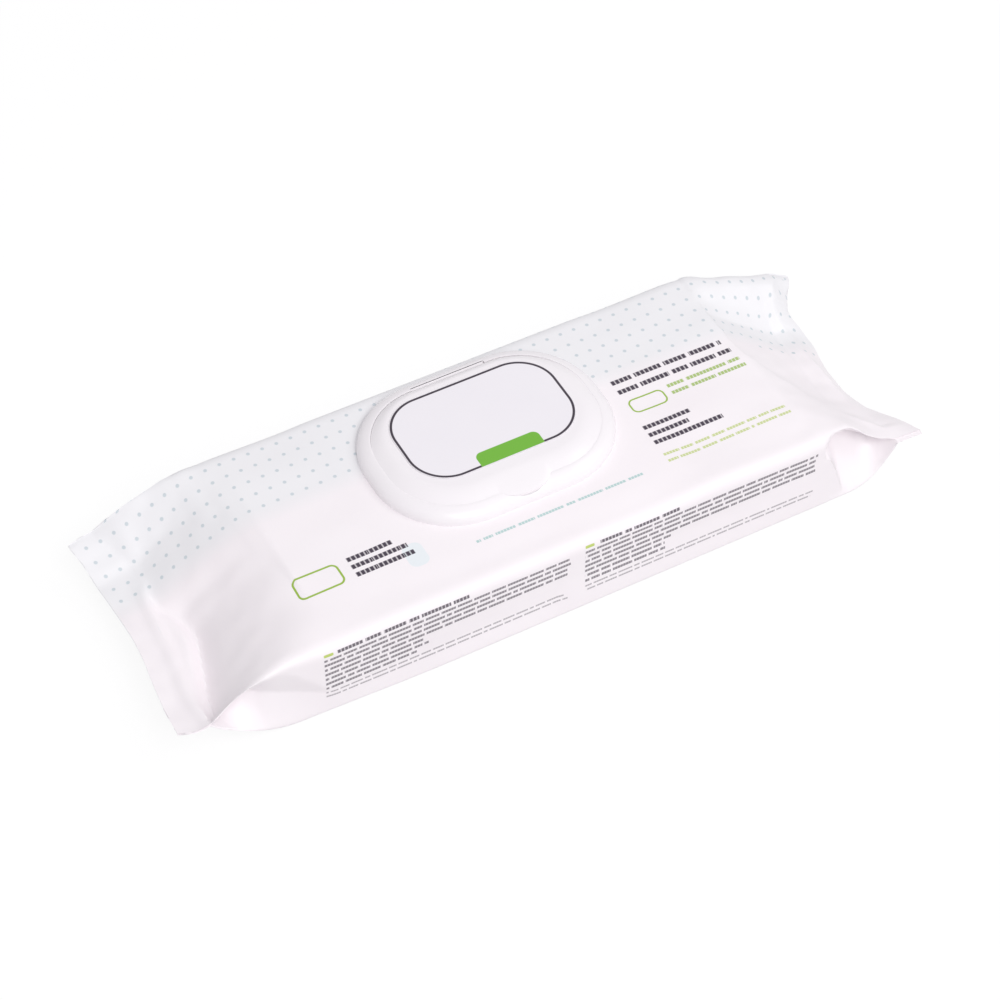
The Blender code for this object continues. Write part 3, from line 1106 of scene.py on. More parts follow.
@dataclass(frozen=True)
class LeftEnd(PackEnd):
    """The left end: a soft slope with a deep crease behind it, where the back of the film slopes forwards."""

    back_z: Curve = (
        (100, 37), (110, 36.9), (118, 35.4), (123, 33.5), (128, 31.6), (134, 29), (140, 26.2),
        (146, 22.4), (151, 19.8),
    )
    back_slope: Curve = (
        (97, 0), (103, 0.06), (108, 0.17), (114, 0.32), (118, 0.47), (123, 0.6), (128, 0.67),
        (136, 0.7), (145, 0.61), (151, 0.45),
    )
    front_of_back: float = 26.0
    front_fall: Curve = ((108, 0), (124, 0.75))
    slope_start: Curve = ((-52, 98), (-20, 90), (8, 90), (24, 91.5))
    foot_rise: float = 7.0
    foot: Curve = (
        (-52, 149.2), (-45, 145.4), (-33, 141.6), (-18, 136.8), (-3, 133), (6, 134.5), (14, 140),
        (22, 142), (28, 142.4),
    )
    foot_z: Curve = ((-52, 20), (-45, 14), (-33, 10.8), (-18, 9.6), (-3, 9.6), (12, 11), (28, 12.6))
    slope_power: Curve = ((-52, 2.1), (-38, 1.5), (-6, 1.15), (10, 1.08), (26, 1))
    roll: Curve = ((-52, 0.16), (0, 0.16), (14, 0.04), (28, 0))
    seal_z: Curve = (
        (-52, 20.6), (-40, 17.6), (-25, 15.6), (-10, 14), (4, 12.8), (15, 12.4), (26, 12.2),
        (34, 13), (40, 14.4), (46, 16.8), (52, 19.6),
    )
    roll_power: int = 9
    crease_softness: float = 1.2
    crease_fade: Pair = (97.0, 112.0)
    start_softness: float = 0.3
    foot_softness: float = 0.03

    def top(self, away: Array, across: Array) -> Array:
        """Return the top film's height: the higher of the front's slope and the back's slope.

        Args:
            away: distances from the pack's middle.
            across: places across the pack.

        Returns:
            Heights above the floor.
        """
        start = eased(self.slope_start, across)
        foot, foot_z = eased(self.foot, across), eased(self.foot_z, across)
        share = np.maximum((away - start) / (foot - start), 0)
        share = (share + 1.0 - np.sqrt((share - 1) ** 2 + self.foot_softness ** 2)) / 2
        share = np.clip(share, 0, 1)
        eased_in = (np.sqrt(share ** 2 + self.start_softness ** 2) - self.start_softness) / (
            math.sqrt(1 + self.start_softness ** 2) - self.start_softness)
        roll = eased(self.roll, across)
        fall = (1 - roll) * eased_in ** eased(self.slope_power, across) + roll * share ** self.roll_power
        bulge = self.height - (self.height - foot_z) * fall
        inner = self.inner(across)
        ridge = np.clip(inner, foot + 0.5, foot + self.foot_rise)
        climb = np.sin(soft_step(foot, ridge, away) * math.pi / 2)
        bulge = bulge + (eased(self.seal_z, across) - foot_z) * climb
        bulge = bulge + eased(self.lip, across) * np.exp(-(((away - inner) / self.lip_reach) ** 2))
        behind = eased(self.back_z, away) - eased(self.back_slope, away) * (self.half_width - across)
        behind = behind - eased(self.front_fall, away) * np.maximum(self.front_of_back - across, 0)
        soft = self.crease_softness * soft_step(*self.crease_fade, away)
        return (bulge + behind + np.sqrt((bulge - behind) ** 2 + soft ** 2)) / 2


@dataclass(frozen=True)
class RightEnd(PackEnd):
    """The right end: a sharp fold down behind the wipes into a hollow, and a raised slope at the back."""

    front_z: Curve = (
        (104, 37), (116, 36.8), (123, 35.8), (129, 34.4), (133.5, 31.2), (138, 26.6), (143, 22.8),
        (149.4, 20.8),
    )
    fold_away: Curve = (
        (-52, 153), (-46, 149), (-39, 141.7), (-31, 132.2), (-20, 125), (-7.8, 118.3), (5, 112.2),
        (14, 111.3), (40, 110.5),
    )
    fold_across: Curve = ((110.7, 8), (112.2, 5), (118.3, -7.8), (125, -20), (132.2, -31), (141.7, -39),
                          (150, -47))
    fold_z: Curve = ((104, 37), (111, 36.7), (118.3, 33.2), (125, 30), (132.2, 26.8), (141.7, 23),
                     (150, 20.8))
    knee: Curve = ((-52, 148.5), (-40, 144.5), (-30, 140.5), (-20, 137.6), (-10, 138.6), (0, 139.6),
                   (10, 141), (28, 142.6))
    knee_z: Curve = ((-52, 20.8), (-40, 20.9), (-30, 20.6), (-20, 19.8), (-10, 17.3), (0, 16.6),
                     (10, 14.8), (22, 11.9), (28, 11.6))
    seal_z: Curve = ((-52, 20.6), (-40, 18.6), (-30, 16.8), (-20, 15.4), (-10, 15.5), (0, 15.3),
                     (10, 13.6), (22, 10.6), (28, 10.3))
    valley_across: Curve = ((110.7, 31), (118, 29.5), (127, 28), (150, 26.5))
    hollow_power: float = 0.9
    crest_z: Curve = ((104, 37), (112, 37.4), (118, 36.6), (128, 33.2), (136, 30.2), (143, 27.4),
                      (150, 25), (156, 22.6))
    crest_across: Curve = ((104, 48), (125, 47), (152, 43.5))
    crest_rise: Curve = ((0, 0), (0.35, 0.38), (0.6, 0.74), (0.85, 0.96), (1, 1))
    rear_drop: float = 2.6
    rear_fade: Pair = (113.0, 124.0)
    valley_blend: float = 6.0
    front_share: float = 0.75
    wall: float = 1.6

    def hollow(self, away: Array, across: Array) -> Array:
        """Return the hollow's floor behind the fold: a slope, then a nearly level part up to the seal.

        Args:
            away: distances from the pack's middle.
            across: places across the pack.

        Returns:
            Heights above the floor.
        """
        knee, knee_z = eased(self.knee, across), eased(self.knee_z, across)
        fold = eased(self.fold_away, across)
        share = np.clip((away - fold) / np.maximum(knee - fold, 2), 0, 1)
        slope = between(eased(self.fold_z, fold), knee_z, share ** self.hollow_power)
        past = np.clip((away - knee) / np.maximum(self.inner(across) - knee, 0.5), 0, 1)
        return slope + (eased(self.seal_z, across) - knee_z) * past

    def top(self, away: Array, across: Array) -> Array:
        """Return the top film's height: front slope, fold, hollow and back slope.

        Args:
            away: distances from the pack's middle.
            across: places across the pack.

        Returns:
            Heights above the floor.
        """
        fold_y = eased(self.fold_across, away)
        share = np.clip((across + self.half_width) / (fold_y + self.half_width), 0, 1)
        front = between(eased(self.front_z, away), eased(self.fold_z, away), share)
        low = self.hollow(away, across)
        valley_y = eased(self.valley_across, away)
        valley = self.hollow(away, valley_y)
        crest_y, crest_z = eased(self.crest_across, away), eased(self.crest_z, away)
        up = eased(self.crest_rise, np.clip((across - valley_y) / (crest_y - valley_y), 0, 1))
        behind = between(valley, np.maximum(crest_z, valley), up)
        rear_share = np.clip((across - crest_y) / (self.half_width - crest_y), 0.0, 1.0)
        behind = behind - self.rear_drop * rear_share ** 2 * soft_step(*self.rear_fade, away)
        blend = self.valley_blend
        rear = between(low, behind, soft_step(valley_y - blend, valley_y, across))
        steepness = between(self.front_share, 1.0, soft_step(-blend, blend, across))
        past = (away - eased(self.fold_away, across)) * steepness
        return between(front, rear, soft_step(0, self.wall, past))


@dataclass
class Wrapper:
    """The film wrapper: one sheet folded round the wipes, with a fin underneath and crimped ends."""

    finish: bpy.types.Material
    low: Vector
    high: Vector
    window: tuple[Vector, Vector, float]
    name: str = "film_skin"
    wall: float = 0.25
    lid_gap: float = 0.3
    middle_reach: float = 89.0
    window_room: float = 3.0
    window_steps: tuple[int, int] = (10, 4)
    lid_margin: float = 22.0
    calm_blend: float = 14.0
    broad_scale: Triple = (0.028, 0.05, 0.0)
    broad_shift: float = 3.1
    broad_level: float = 0.35
    broad_lift: float = 0.9
    fine_scale: Triple = (0.11, 0.13, 0.1)
    fine_lift: float = 0.45
    wrap_step: float = 0.005
    smooth_angle: float = 40.0
    top_reach: float = 5.5
    back_reach: float = 6.0
    base_reach: float = 2.4
    spread: float = 0.8
    base_spread: float = 1.6
    back_spread: Pair = (2.3, -0.006)
    even_from: float = 12.0
    top_parts: int = 84
    base_parts: int = 42
    arc_parts: int = 6
    facet_parts: int = 12
    crease_room: float = 0.25
    layer_room: float = 0.75
    middle_step: float = 4.0
    end_step: float = 0.95
    seal_steps: int = 9
    fin_room: float = 0.5
    fin_half: float = 8.0
    fin_slope: Pair = (0.6, 1.3)
    least_open: float = 0.03
    greatest_arc: float = 0.45
    seal_thinning: float = 0.25
    pull_from: float = 20.0
    top_band: Pair = (9.0, 1.0)
    end_band: Pair = (96.0, 118.0)
    end_rise: Pair = (8.0, 14.0)

    def ends(self) -> tuple[PackEnd, PackEnd]:
        """Describe the two ends.

        Returns:
            The left and the right end.
        """
        height, half_width = self.high.z, self.high.y + self.spread
        left = LeftEnd(
            side=-1,
            height=height,
            half_width=half_width,
            seal_inner=((-52, 149.6), (-36, 150), (-20, 147.9), (-7, 146), (4, 145.2), (15, 144.2),
                        (26, 142.6), (36, 142.4), (44, 145), (52, 149.6)),
            seal_outer=((-52, 161.2), (-35, 160.3), (-22, 159), (-10, 157.2), (4, 156.1), (16, 156),
                        (26, 156.4), (43, 157.9), (52, 160.2)),
            seal_outer_z=((-52, 20.2), (-19, 17.5), (-4, 16), (10, 14.2), (22, 12.6), (33, 12.4),
                          (43, 15.5), (52, 19.6)),
            front_pull=((100, 0), (125, 0.6), (149, 0)),
            back_pull=((104, 0), (112, -0.9), (121, -2.2), (130, -2.7), (140, -2.3), (149.6, -1.2)),
            front_crease=((80, 0, 12), (97, 0, 10.5), (108, 1.8, 14.4), (115, 3.4, 17.2),
                          (120, 4.6, 18.6), (125, 6.4, 19.8), (129, 9.2, 19.6), (135, 12.5, 19.4),
                          (142, 15, 19.6), (149.4, 17, 20)),
            back_crease=((100, 0, 18.5), (114, 3.5, 18.5), (126, 9.5, 17), (140, 14, 16.5),
                         (149.4, 17, 18)),
            base_start=112.0,
            base_power=1.95,
            front_knee=((112, 0), (113, 0)),
            upper_knee=((97, 0.04), (105, 0.25), (110, 0.51), (115, 0.82), (119, 1)),
            lip=((-50, 0.8), (-40, 1.5), (20, 1.5), (30, 0.8), (38, 0)),
            seal_pull=(3.4, 1.2),
            base_fade=(50, 118),
            true_rows_from=21.5,
        )
        right = RightEnd(
            side=1,
            height=height,
            half_width=half_width,
            seal_inner=((-52, 149.4), (-40, 148.2), (-20, 147.1), (0, 147), (10, 147.8), (20, 148.8),
                        (27, 148.8), (34, 147.8), (40, 150), (46, 152), (52, 152.5)),
            seal_outer=((-52, 161), (-40, 159.2), (-30, 157.4), (-20, 155.3), (-10, 153.4), (0, 153.5),
                        (10, 155.4), (20, 157), (27, 156.6), (34, 155), (40, 157.6), (46, 161.6),
                        (52, 162.8)),
            seal_outer_z=((-52, 20), (-40, 15.4), (-30, 10.6), (-20, 7.4), (-10, 7.2), (0, 7.2),
                          (10, 6), (20, 6), (27, 7.5), (34, 11), (40, 13.5), (46, 17.5),
                          (52, 17)),
            front_pull=((112, 0), (124, 2.6), (130, 3.6), (138, 1.2), (149.4, 0)),
            back_pull=((110, 0), (122, 0.6), (135, 2), (150, 4.5), (156, 5.5)),
            front_crease=((80, 0, 18.5), (108, 0, 24), (115, 0, 27), (118.5, 4, 28),
                          (121.5, 9.5, 28), (125, 12.5, 27.5), (130, 13.5, 26), (135, 14, 23),
                          (142, 14.5, 19.5), (149.4, 16.5, 20.4)),
            back_crease=((100, 0, 18.5), (114, 3, 18.5), (126, 9.5, 18), (140, 14, 18.5),
                         (150, 17, 19)),
            base_start=126.5,
            base_power=2.6,
            front_knee=((114, 0.98), (118, 0.97), (121, 0.75), (123.5, 0.42), (126.5, 0.05), (129, 0)),
            bulge_fade=(113, 128),
        )
        return left, right

    def _columns(self, end: PackEnd, away_mid: Array, shares: Array) -> tuple[Array, ...]:
        """Work out one half of the wrapper's outer points, from the middle out to the seal's inner edge.

        Args:
            end: the end's description.
            away_mid: stations along the straight middle.
            shares: stations along the sloping end, as shares of its length.

        Returns:
            Distance, place across and height of each point, by station and column.
        """
        half = self.high.y + self.spread
        count = len(away_mid) + len(shares)
        station_mid = np.concatenate((away_mid, np.full(len(shares), -1.0)))[:, None]
        station_share = np.concatenate((np.zeros(len(away_mid)), shares))[:, None]

        def distance(across: Array) -> Array:
            """Place every station for columns at the given places across."""
            reach = end.start + (end.inner(across) - end.start) * station_share
            return np.where(station_mid >= 0, np.minimum(station_mid, end.start), reach)

        edge_away = distance(np.full((count, 1), -half))
        back_away = distance(np.full((count, 1), half))
        wide, narrowing = self.back_spread
        bulge = (wide + narrowing * end.side * back_away) * (1 - soft_step(*end.bulge_fade, back_away))
        front_y = -half + eased(end.front_pull, edge_away)
        back_y = half - eased(end.back_pull, back_away) + bulge
        front_z, back_z = end.top(edge_away, front_y), end.top(back_away, back_y)
        foot_z, heel_z = end.base(edge_away, front_y), end.base(back_away, back_y)
        creases = []
        for points, away, sign in ((end.front_crease, edge_away, -1), (end.back_crease, back_away, 1)):
            tuck = eased(tuple((p[0], p[1]) for p in points), away)
            level = eased(tuple((p[0], p[2]) for p in points), away)
            fold_y = sign * (half - tuck)
            creases.append((fold_y, end.tucked(away, fold_y, level, self.crease_room, 0.0)))
        open_front = np.clip((front_z - foot_z) / self.high.z, self.least_open, 1.0)
        open_back = np.clip((back_z - heel_z) / self.high.z, self.least_open, 1.0)
        top_share = np.linspace(0.0, 1.0, self.top_parts + 1)[None, :]
        base_share = np.linspace(0.0, 1.0, self.base_parts + 1)[None, :]
        top_front, top_back = front_y + self.top_reach * open_front, back_y - self.back_reach * open_back
        top_y = self._even(end, distance, between(top_front, top_back, top_share))
        top_away = distance(top_y)
        top_z = end.top(top_away, top_y)
        base_half = half + self.base_spread * (1 - soft_step(*end.base_fade, edge_away))
        base_front, base_back = self.base_reach * open_front - base_half, back_y - self.base_reach * open_back
        base_y = between(base_front, base_back, base_share)
        base_away = distance(base_y)
        base_z = end.base(base_away, base_y)
        slope_start, slope_end = (self.fin_half * share for share in self.fin_slope)
        base_z = base_z + self.fin_room * (1 - soft_step(slope_start, slope_end, np.abs(base_y)))
        middle = self.base_parts // 2
        pieces = []

        def add(away: Array, across: Array, up: Array) -> None:
            """Append columns, each given as a table by station."""
            shape = (count, across.shape[1])
            pieces.append(tuple(np.broadcast_to(part, shape) for part in (away, across, up)))

        def corner(near: tuple, tip: tuple, far: tuple) -> None:
            """Append an arc that rounds a corner, without its two end points.

            Args:
                near: distance, place across and height where the arc starts.
                tip: the same for the corner itself.
                far: the same where the arc ends.
            """
            share = np.linspace(0.0, 1.0, self.arc_parts + 1)[None, 1:-1]
            ways = zip(near, tip, far)
            add(*(between(between(n, t, share), between(t, f, share), share) for n, t, f in ways))

        def side(away: Array, tip: tuple, crease: tuple, reach_in: Array) -> tuple:
            """Find the point on a side panel where a corner's arc ends.

            Args:
                away: distances from the pack's middle.
                tip: the corner's place across and height.
                crease: the place across and the height of the crease that the panel runs to.
                reach_in: how far the arc reaches along the panel.

            Returns:
                The point's distance, place across and height.
            """
            run_y, run_z = crease[0] - tip[0], crease[1] - tip[1]
            length = np.sqrt(run_y ** 2 + run_z ** 2)
            part = np.minimum(reach_in / length, self.greatest_arc)
            return away, tip[0] + run_y * part, tip[1] + run_z * part

        def facet(start: tuple, finish: tuple, with_end: bool, bend: tuple | None = None) -> None:
            """Append the columns of one side facet.

            Args:
                start: distance, place across and height where it starts.
                finish: the same where it ends.
                with_end: whether its last column is added too.
                bend: the whole tuck, and the shares of the facet where the tuck starts and ends.
            """
            share = np.linspace(0.0, 1.0, self.facet_parts + 1)[None, :]
            share = share if with_end else share[:, :-1]
            away, across, up = (between(a, b, share) for a, b in zip(start, finish))
            if bend is not None:
                tuck, first, last = bend
                part = np.clip((share - first) / (last - first), 0.0, 1.0)
                across = across + tuck * (part - share)
            away = np.broadcast_to(away, across.shape)
            add(away, across, end.tucked(away, across, up, 0.0, self.layer_room))

        front_base = (-base_half + 0 * front_y, foot_z)
        back_base = (back_y, heel_z)
        add(base_away[:, middle::-1], base_y[:, middle::-1], base_z[:, middle::-1])
        start = tuple(part[:, :1] for part in (base_away, base_y, base_z))
        turn = side(edge_away, front_base, creases[0], self.base_reach * open_front)
        corner(start, (edge_away, *front_base), turn)
        tuck = creases[0][0] + half
        facet(turn, (edge_away, *creases[0]), False, (tuck, eased(end.front_knee, edge_away), 1.0))
        upper = side(edge_away, (front_y, front_z), creases[0], self.top_reach * open_front)
        facet((edge_away, *creases[0]), upper, True, (-tuck, 0.0, eased(end.upper_knee, edge_away)))
        corner(upper, (edge_away, front_y, front_z), tuple(part[:, :1] for part in (top_away, top_y, top_z)))
        add(top_away, top_y, top_z)
        upper = side(back_away, (back_y, back_z), creases[1], self.back_reach * open_back)
        last = tuple(part[:, -1:] for part in (top_away, top_y, top_z))
        corner(last, (back_away, back_y, back_z), upper)
        facet(upper, (back_away, *creases[1]), False)
        turn = side(back_away, back_base, creases[1], self.base_reach * open_back)
        facet((back_away, *creases[1]), turn, True)
        corner(turn, (back_away, *back_base), tuple(part[:, -1:] for part in (base_away, base_y, base_z)))
        add(base_away[:, :middle:-1], base_y[:, :middle:-1], base_z[:, :middle:-1])
        return tuple(np.concatenate(part, axis=1) for part in zip(*pieces))

    def _even(self, end: PackEnd, distance: Callable[[Array], Array], across: Array) -> Array:
        """Spread the columns evenly along the film where its back part slopes.

        Args:
            end: the end's description.
            distance: finds each column's distance from the middle.
            across: the columns' places across, evenly spread from above.

        Returns:
            The new places across.
        """
        up = end.top(distance(across), across)
        result = across.copy()
        for row, (places, heights) in enumerate(zip(across, up)):
            first = int(np.argmax(places > self.even_from))
            steps = np.hypot(np.diff(places[first:]), np.diff(heights[first:]))
            length = np.concatenate(([0.0], np.cumsum(steps)))
            even = np.linspace(0.0, length[-1], len(length))
            result[row, first:] = np.interp(even, length, places[first:])
        return result

    def _seal(self, end: PackEnd, away: Array, across: Array) -> tuple[Array, ...]:
        """Continue the columns over the crimped seal.

        Args:
            end: the end's description.
            away: the last station's distances.
            across: its places across.

        Returns:
            The seal's distances, places across and heights, by station and column.
        """
        share = np.linspace(0.0, 1.0, self.seal_steps + 1)[1:, None]
        sign = np.where(self._lower_columns(len(across)), -1.0, 1.0)
        sign = np.where(self._side_columns(len(across)), 0.0, sign)
        reach = between(away, eased(end.seal_outer, across), share)
        half_thick = end.seal_thickness / 2 * (1 - self.seal_thinning * share ** 3)
        level = end.seal(reach, across) + sign * half_thick
        front_pull, back_pull = (pull * share ** 2 for pull in end.seal_pull)
        narrowed = across + front_pull * soft_step(self.pull_from, self.high.y, -across)
        narrowed = narrowed - back_pull * soft_step(self.pull_from, self.high.y, across)
        return reach, narrowed, level

    @property
    def side_start(self) -> int:
        """Return the number of the front side's first column."""
        return self.base_parts // 2 + self.arc_parts

    def _lower_columns(self, count: int) -> Array:
        """Mark the columns that belong to the film underneath."""
        index = np.arange(count)
        return (index < self.side_start) | (index > count - self.side_start)

    def _side_columns(self, count: int) -> Array:
        """Mark the columns of the two tucked sides.

        Args:
            count: the number of columns.

        Returns:
            True for each column of a side.
        """
        index = np.arange(count)
        first, last = self.side_start, count - self.side_start + 1
        width = 2 * self.facet_parts + 1
        return ((index >= first) & (index < first + width)) | ((index >= last - width) & (index < last))

    def _film_across(self, across: Array, up: Array) -> Array:
        """Measure the film across the pack, with 0 on the top's middle line and less towards the front."""
        length = np.concatenate(([0.0], np.cumsum(np.sqrt(np.diff(across) ** 2 + np.diff(up) ** 2))))
        return length - length[-1] / 2

    def _film_rows(self, end: PackEnd, film_v: Array, across: Array, up: Array) -> Array:
        """Give each point its film coordinate across, in true lengths at the front and behind true_rows_from.

        Args:
            end: the end's description.
            film_v: the coordinate of each column in the pack's middle.
            across: places across, by station and column.
            up: heights.

        Returns:
            The coordinates, by station and column.
        """
        rows = np.broadcast_to(film_v, across.shape).copy()
        low = self.base_parts // 2 + 1
        high = low + 2 * (self.arc_parts - 1) + 2 * self.facet_parts + 1
        run = np.hypot(np.diff(across[:, low:high + 1], axis=1), np.diff(up[:, low:high + 1], axis=1))
        rows[:, low:high] = film_v[high] - np.cumsum(run[:, ::-1], axis=1)[:, ::-1]
        if end.true_rows_from is not None:
            first = int(np.argmax(film_v > end.true_rows_from))
            run = np.hypot(np.diff(across[:, first:], axis=1), np.diff(up[:, first:], axis=1))
            rows[:, first + 1:] = film_v[first] + np.cumsum(run, axis=1)
        return rows

    def build(self) -> bpy.types.Object:
        """Build the wrapper.

        Returns:
            The finished piece.
        """
        halves = []
        away_mid = np.arange(0.0, self.middle_reach, self.middle_step)
        for end in self.ends():
            steps = int(round((end.inner(np.array(0.0)) - end.start) / self.end_step))
            shares = np.linspace(0.0, 1.0, steps + 1)
            away, across, up = self._columns(end, away_mid, shares)
            seal = self._seal(end, away[-1], across[-1])
            away, across, up = (np.concatenate(pair) for pair in zip((away, across, up), seal))
            halves.append((end, away, across, up))
        film_v = self._film_across(halves[0][2][0], halves[0][3][0])
        loops = []
        for end, away, across, up in halves:
            steps = np.sqrt(np.diff(away, axis=0) ** 2 + np.diff(up, axis=0) ** 2)
            along = np.concatenate((np.zeros((1, away.shape[1])), np.cumsum(steps, axis=0)))
            v = self._film_rows(end, film_v, across, up)
            loops.append((end.side * away, across, up, end.side * along, v))
        left, right = loops
        x, y, z, u, v = (np.concatenate((a[:0:-1], b)) for a, b in zip(left, right))
        z = (z + self._softness(x, y, z)) * (1 + self.lid_gap / self.high.z)
        made = self._mesh(x, y, z, u, v)
        self._open_window(made)
        apply_modifier(made, "SOLIDIFY", thickness=self.wall * MM, offset=-1.0, use_even_offset=False)
        return settle(made, self.finish, self.smooth_angle, Body.PACK, "film_wrapper")

    def _softness(self, x: Array, y: Array, z: Array) -> Array:
        """Return small lifts and dips of the film away from the lid, so that no panel is dead flat.

        Args:
            x: the points' places along the pack.
            y: their places across.
            z: their heights.

        Returns:
            A height to add to each point.
        """
        on_top = soft_step(*(self.high.z - below for below in self.top_band), z)
        low, high, _ = self.window
        margin = self.lid_margin
        clear_x = np.maximum(low.x - margin - x, x - high.x - margin)
        clear_y = np.maximum(low.y - margin - y, y - high.y - margin)
        free = soft_step(0.0, self.calm_blend, np.maximum(clear_x, clear_y)) * on_top
        at_ends = soft_step(*self.end_band, np.abs(x)) * soft_step(*self.end_rise, z)
        broad = cloud(x, y, z, self.broad_scale, self.broad_shift)
        fine = cloud(x, y, z, self.fine_scale, 0.0)
        return free * (broad - self.broad_level) * self.broad_lift + at_ends * fine * self.fine_lift

    def _mesh(self, x: Array, y: Array, z: Array, u: Array, v: Array) -> bpy.types.Object:
        """Skin the points, close both ends and lay the film's own coordinates on the skin.

        Args:
            x: places along the pack, by station and column.
            y: places across.
            z: heights.
            u: film coordinate along the pack.
            v: film coordinate across.

        Returns:
            The closed outer skin.
        """
        stations, columns = x.shape
        points = np.stack((x, y, z), axis=-1).reshape(-1, 3) * MM
        index = np.arange(stations * columns).reshape(stations, columns)
        following = np.roll(index, -1, axis=1)
        quads = np.stack((index[:-1], following[:-1], following[1:], index[1:]), axis=-1).reshape(-1, 4)
        faces = [tuple(int(i) for i in quad) for quad in quads]
        for station in (0, stations - 1):
            faces.extend(self._cap(index[station], y[station], z[station]))
        mesh = bpy.data.meshes.new(self.name)
        mesh.from_pydata([tuple(p) for p in points], [], faces)
        self._lay_map(mesh, u, v, len(quads))
        made = bpy.data.objects.new(self.name, mesh)
        bpy.context.scene.collection.objects.link(made)
        skin = bmesh.new()
        skin.from_mesh(mesh)
        bmesh.ops.recalc_face_normals(skin, faces=skin.faces)
        skin.to_mesh(mesh)
        skin.free()
        return made

    def _lay_map(self, mesh: bpy.types.Mesh, u: Array, v: Array, quads: int) -> None:
        """Lay the film's own coordinates on the skin, with the map's cut along the underside.

        Args:
            mesh: the skin.
            u: film coordinate along the pack, by station and column.
            v: film coordinate across.
            quads: the number of four-sided faces, which come before the caps' triangles.
        """
        columns = u.shape[1]
        spots = np.zeros(len(mesh.loops), np.int32)
        mesh.loops.foreach_get("vertex_index", spots)
        values = np.stack((u.ravel()[spots], v.ravel()[spots]), axis=-1) / FILM_UNIT + 0.5
        grouped = (spots % columns)[:quads * 4].reshape(-1, 4)
        crossing = (grouped.max(axis=1) == columns - 1) & (grouped.min(axis=1) == 0)
        wraps = np.zeros(len(mesh.loops), bool)
        wraps[:quads * 4] = (crossing[:, None] & (grouped == 0)).ravel()
        values[wraps, 1] = v[0, -1] / FILM_UNIT + 0.5 + self.wrap_step
        layer = mesh.uv_layers.new(name="film")
        layer.data.foreach_set("uv", values.astype(np.float32).ravel())

    def _cap(self, ring: Array, across: Array, up: Array) -> list[tuple[int, int, int]]:
        """Close the thin cut edge of a seal with a strip of triangles.

        Args:
            ring: the vertex numbers of the seal's outer loop.
            across: their places across the pack.
            up: their heights.

        Returns:
            The triangles.
        """
        count = len(ring)
        length = self._film_across(across, up)
        first = self.side_start + self.facet_parts
        last = count - first
        upper = list(range(first, last + 1))
        lower = list(range(first, -1, -1)) + list(range(count - 1, last - 1, -1))
        faces = []
        a = b = 0
        total = length[-1] - length[0]
        upper_run = (length[upper] - length[first]) / (length[last] - length[first])
        lower_run = np.mod(length[first] - length[lower], total) / (total - length[last] + length[first])
        while a < len(upper) - 1 or b < len(lower) - 1:
            step_upper = b >= len(lower) - 1 or (a < len(upper) - 1 and upper_run[a + 1] <= lower_run[b + 1])
            third = upper[a + 1] if step_upper else lower[b + 1]
            corners = (upper[a], lower[b], third)
            if len(set(corners)) == 3:
                faces.append(tuple(int(ring[i]) for i in corners))
            if step_upper:
                a += 1
            else:
                b += 1
        return faces

    def _open_window(self, made: bpy.types.Object) -> None:
        """Cut the dispensing window into the film under the lid.

        Args:
            made: the closed skin.
        """
        low, high, corner = self.window
        room, top, slack = self.window_room, self.high.z, 0.1
        tool_low, tool_high = Vector((low.x, low.y, top - room)), Vector((high.x, high.y, top + room))
        tool = add_block("window_tool", tool_low, tool_high)
        with EditSession(tool) as session:
            round_plan(session, corner, 2 * room, *self.window_steps)
        cut_away(made, tool, "FAST")
        with EditSession(made) as session:
            session.select_faces(
                lambda middle, normal: low.x - slack < middle.x < high.x + slack
                and low.y - slack < middle.y < high.y + slack
                and top - room - slack < middle.z
                and (abs(normal.z) < 0.5 or middle.z < top - 1)
            )
            bpy.ops.mesh.delete(type="FACE")


@dataclass
class FinSeal:
    """The long seal underneath the wrapper, folded flat to one side."""

    finish: bpy.types.Material
    length: float
    width: float = 11.0
    thickness: float = 0.35
    offset: float = -2.0
    clearance: float = 0.05
    cuts: int = 60
    film_shift: float = 138.0
    smooth_angle: float = 40.0

    def build(self) -> bpy.types.Object:
        """Build the fin as a thin strip with soft edges.

        Returns:
            The finished piece.
        """
        low = Vector((-self.length / 2, self.offset - self.width / 2, self.clearance))
        high = Vector((self.length / 2, self.offset + self.width / 2, self.clearance + self.thickness))
        made = add_block("fin_seal", low, high)
        with EditSession(made) as session:
            session.select_edges(lambda a, b: abs(a.x - b.x) > LONG_EDGE)
            bpy.ops.mesh.bevel(offset=self.thickness * 0.4 * MM, segments=2, affect="EDGES")
            session.select_edges(lambda a, b: abs(a.x - b.x) > LONG_EDGE)
            bpy.ops.mesh.subdivide(number_cuts=self.cuts)
        layer = made.data.uv_layers.get("film") or made.data.uv_layers.new(name="film")
        for loop in made.data.loops:
            spot = made.data.vertices[loop.vertex_index].co / MM
            across = spot.y - self.film_shift
            layer.data[loop.index].uv = (spot.x / FILM_UNIT + 0.5, across / FILM_UNIT + 0.5)
        return settle(made, self.finish, self.smooth_angle, Body.PACK)


# Wipes


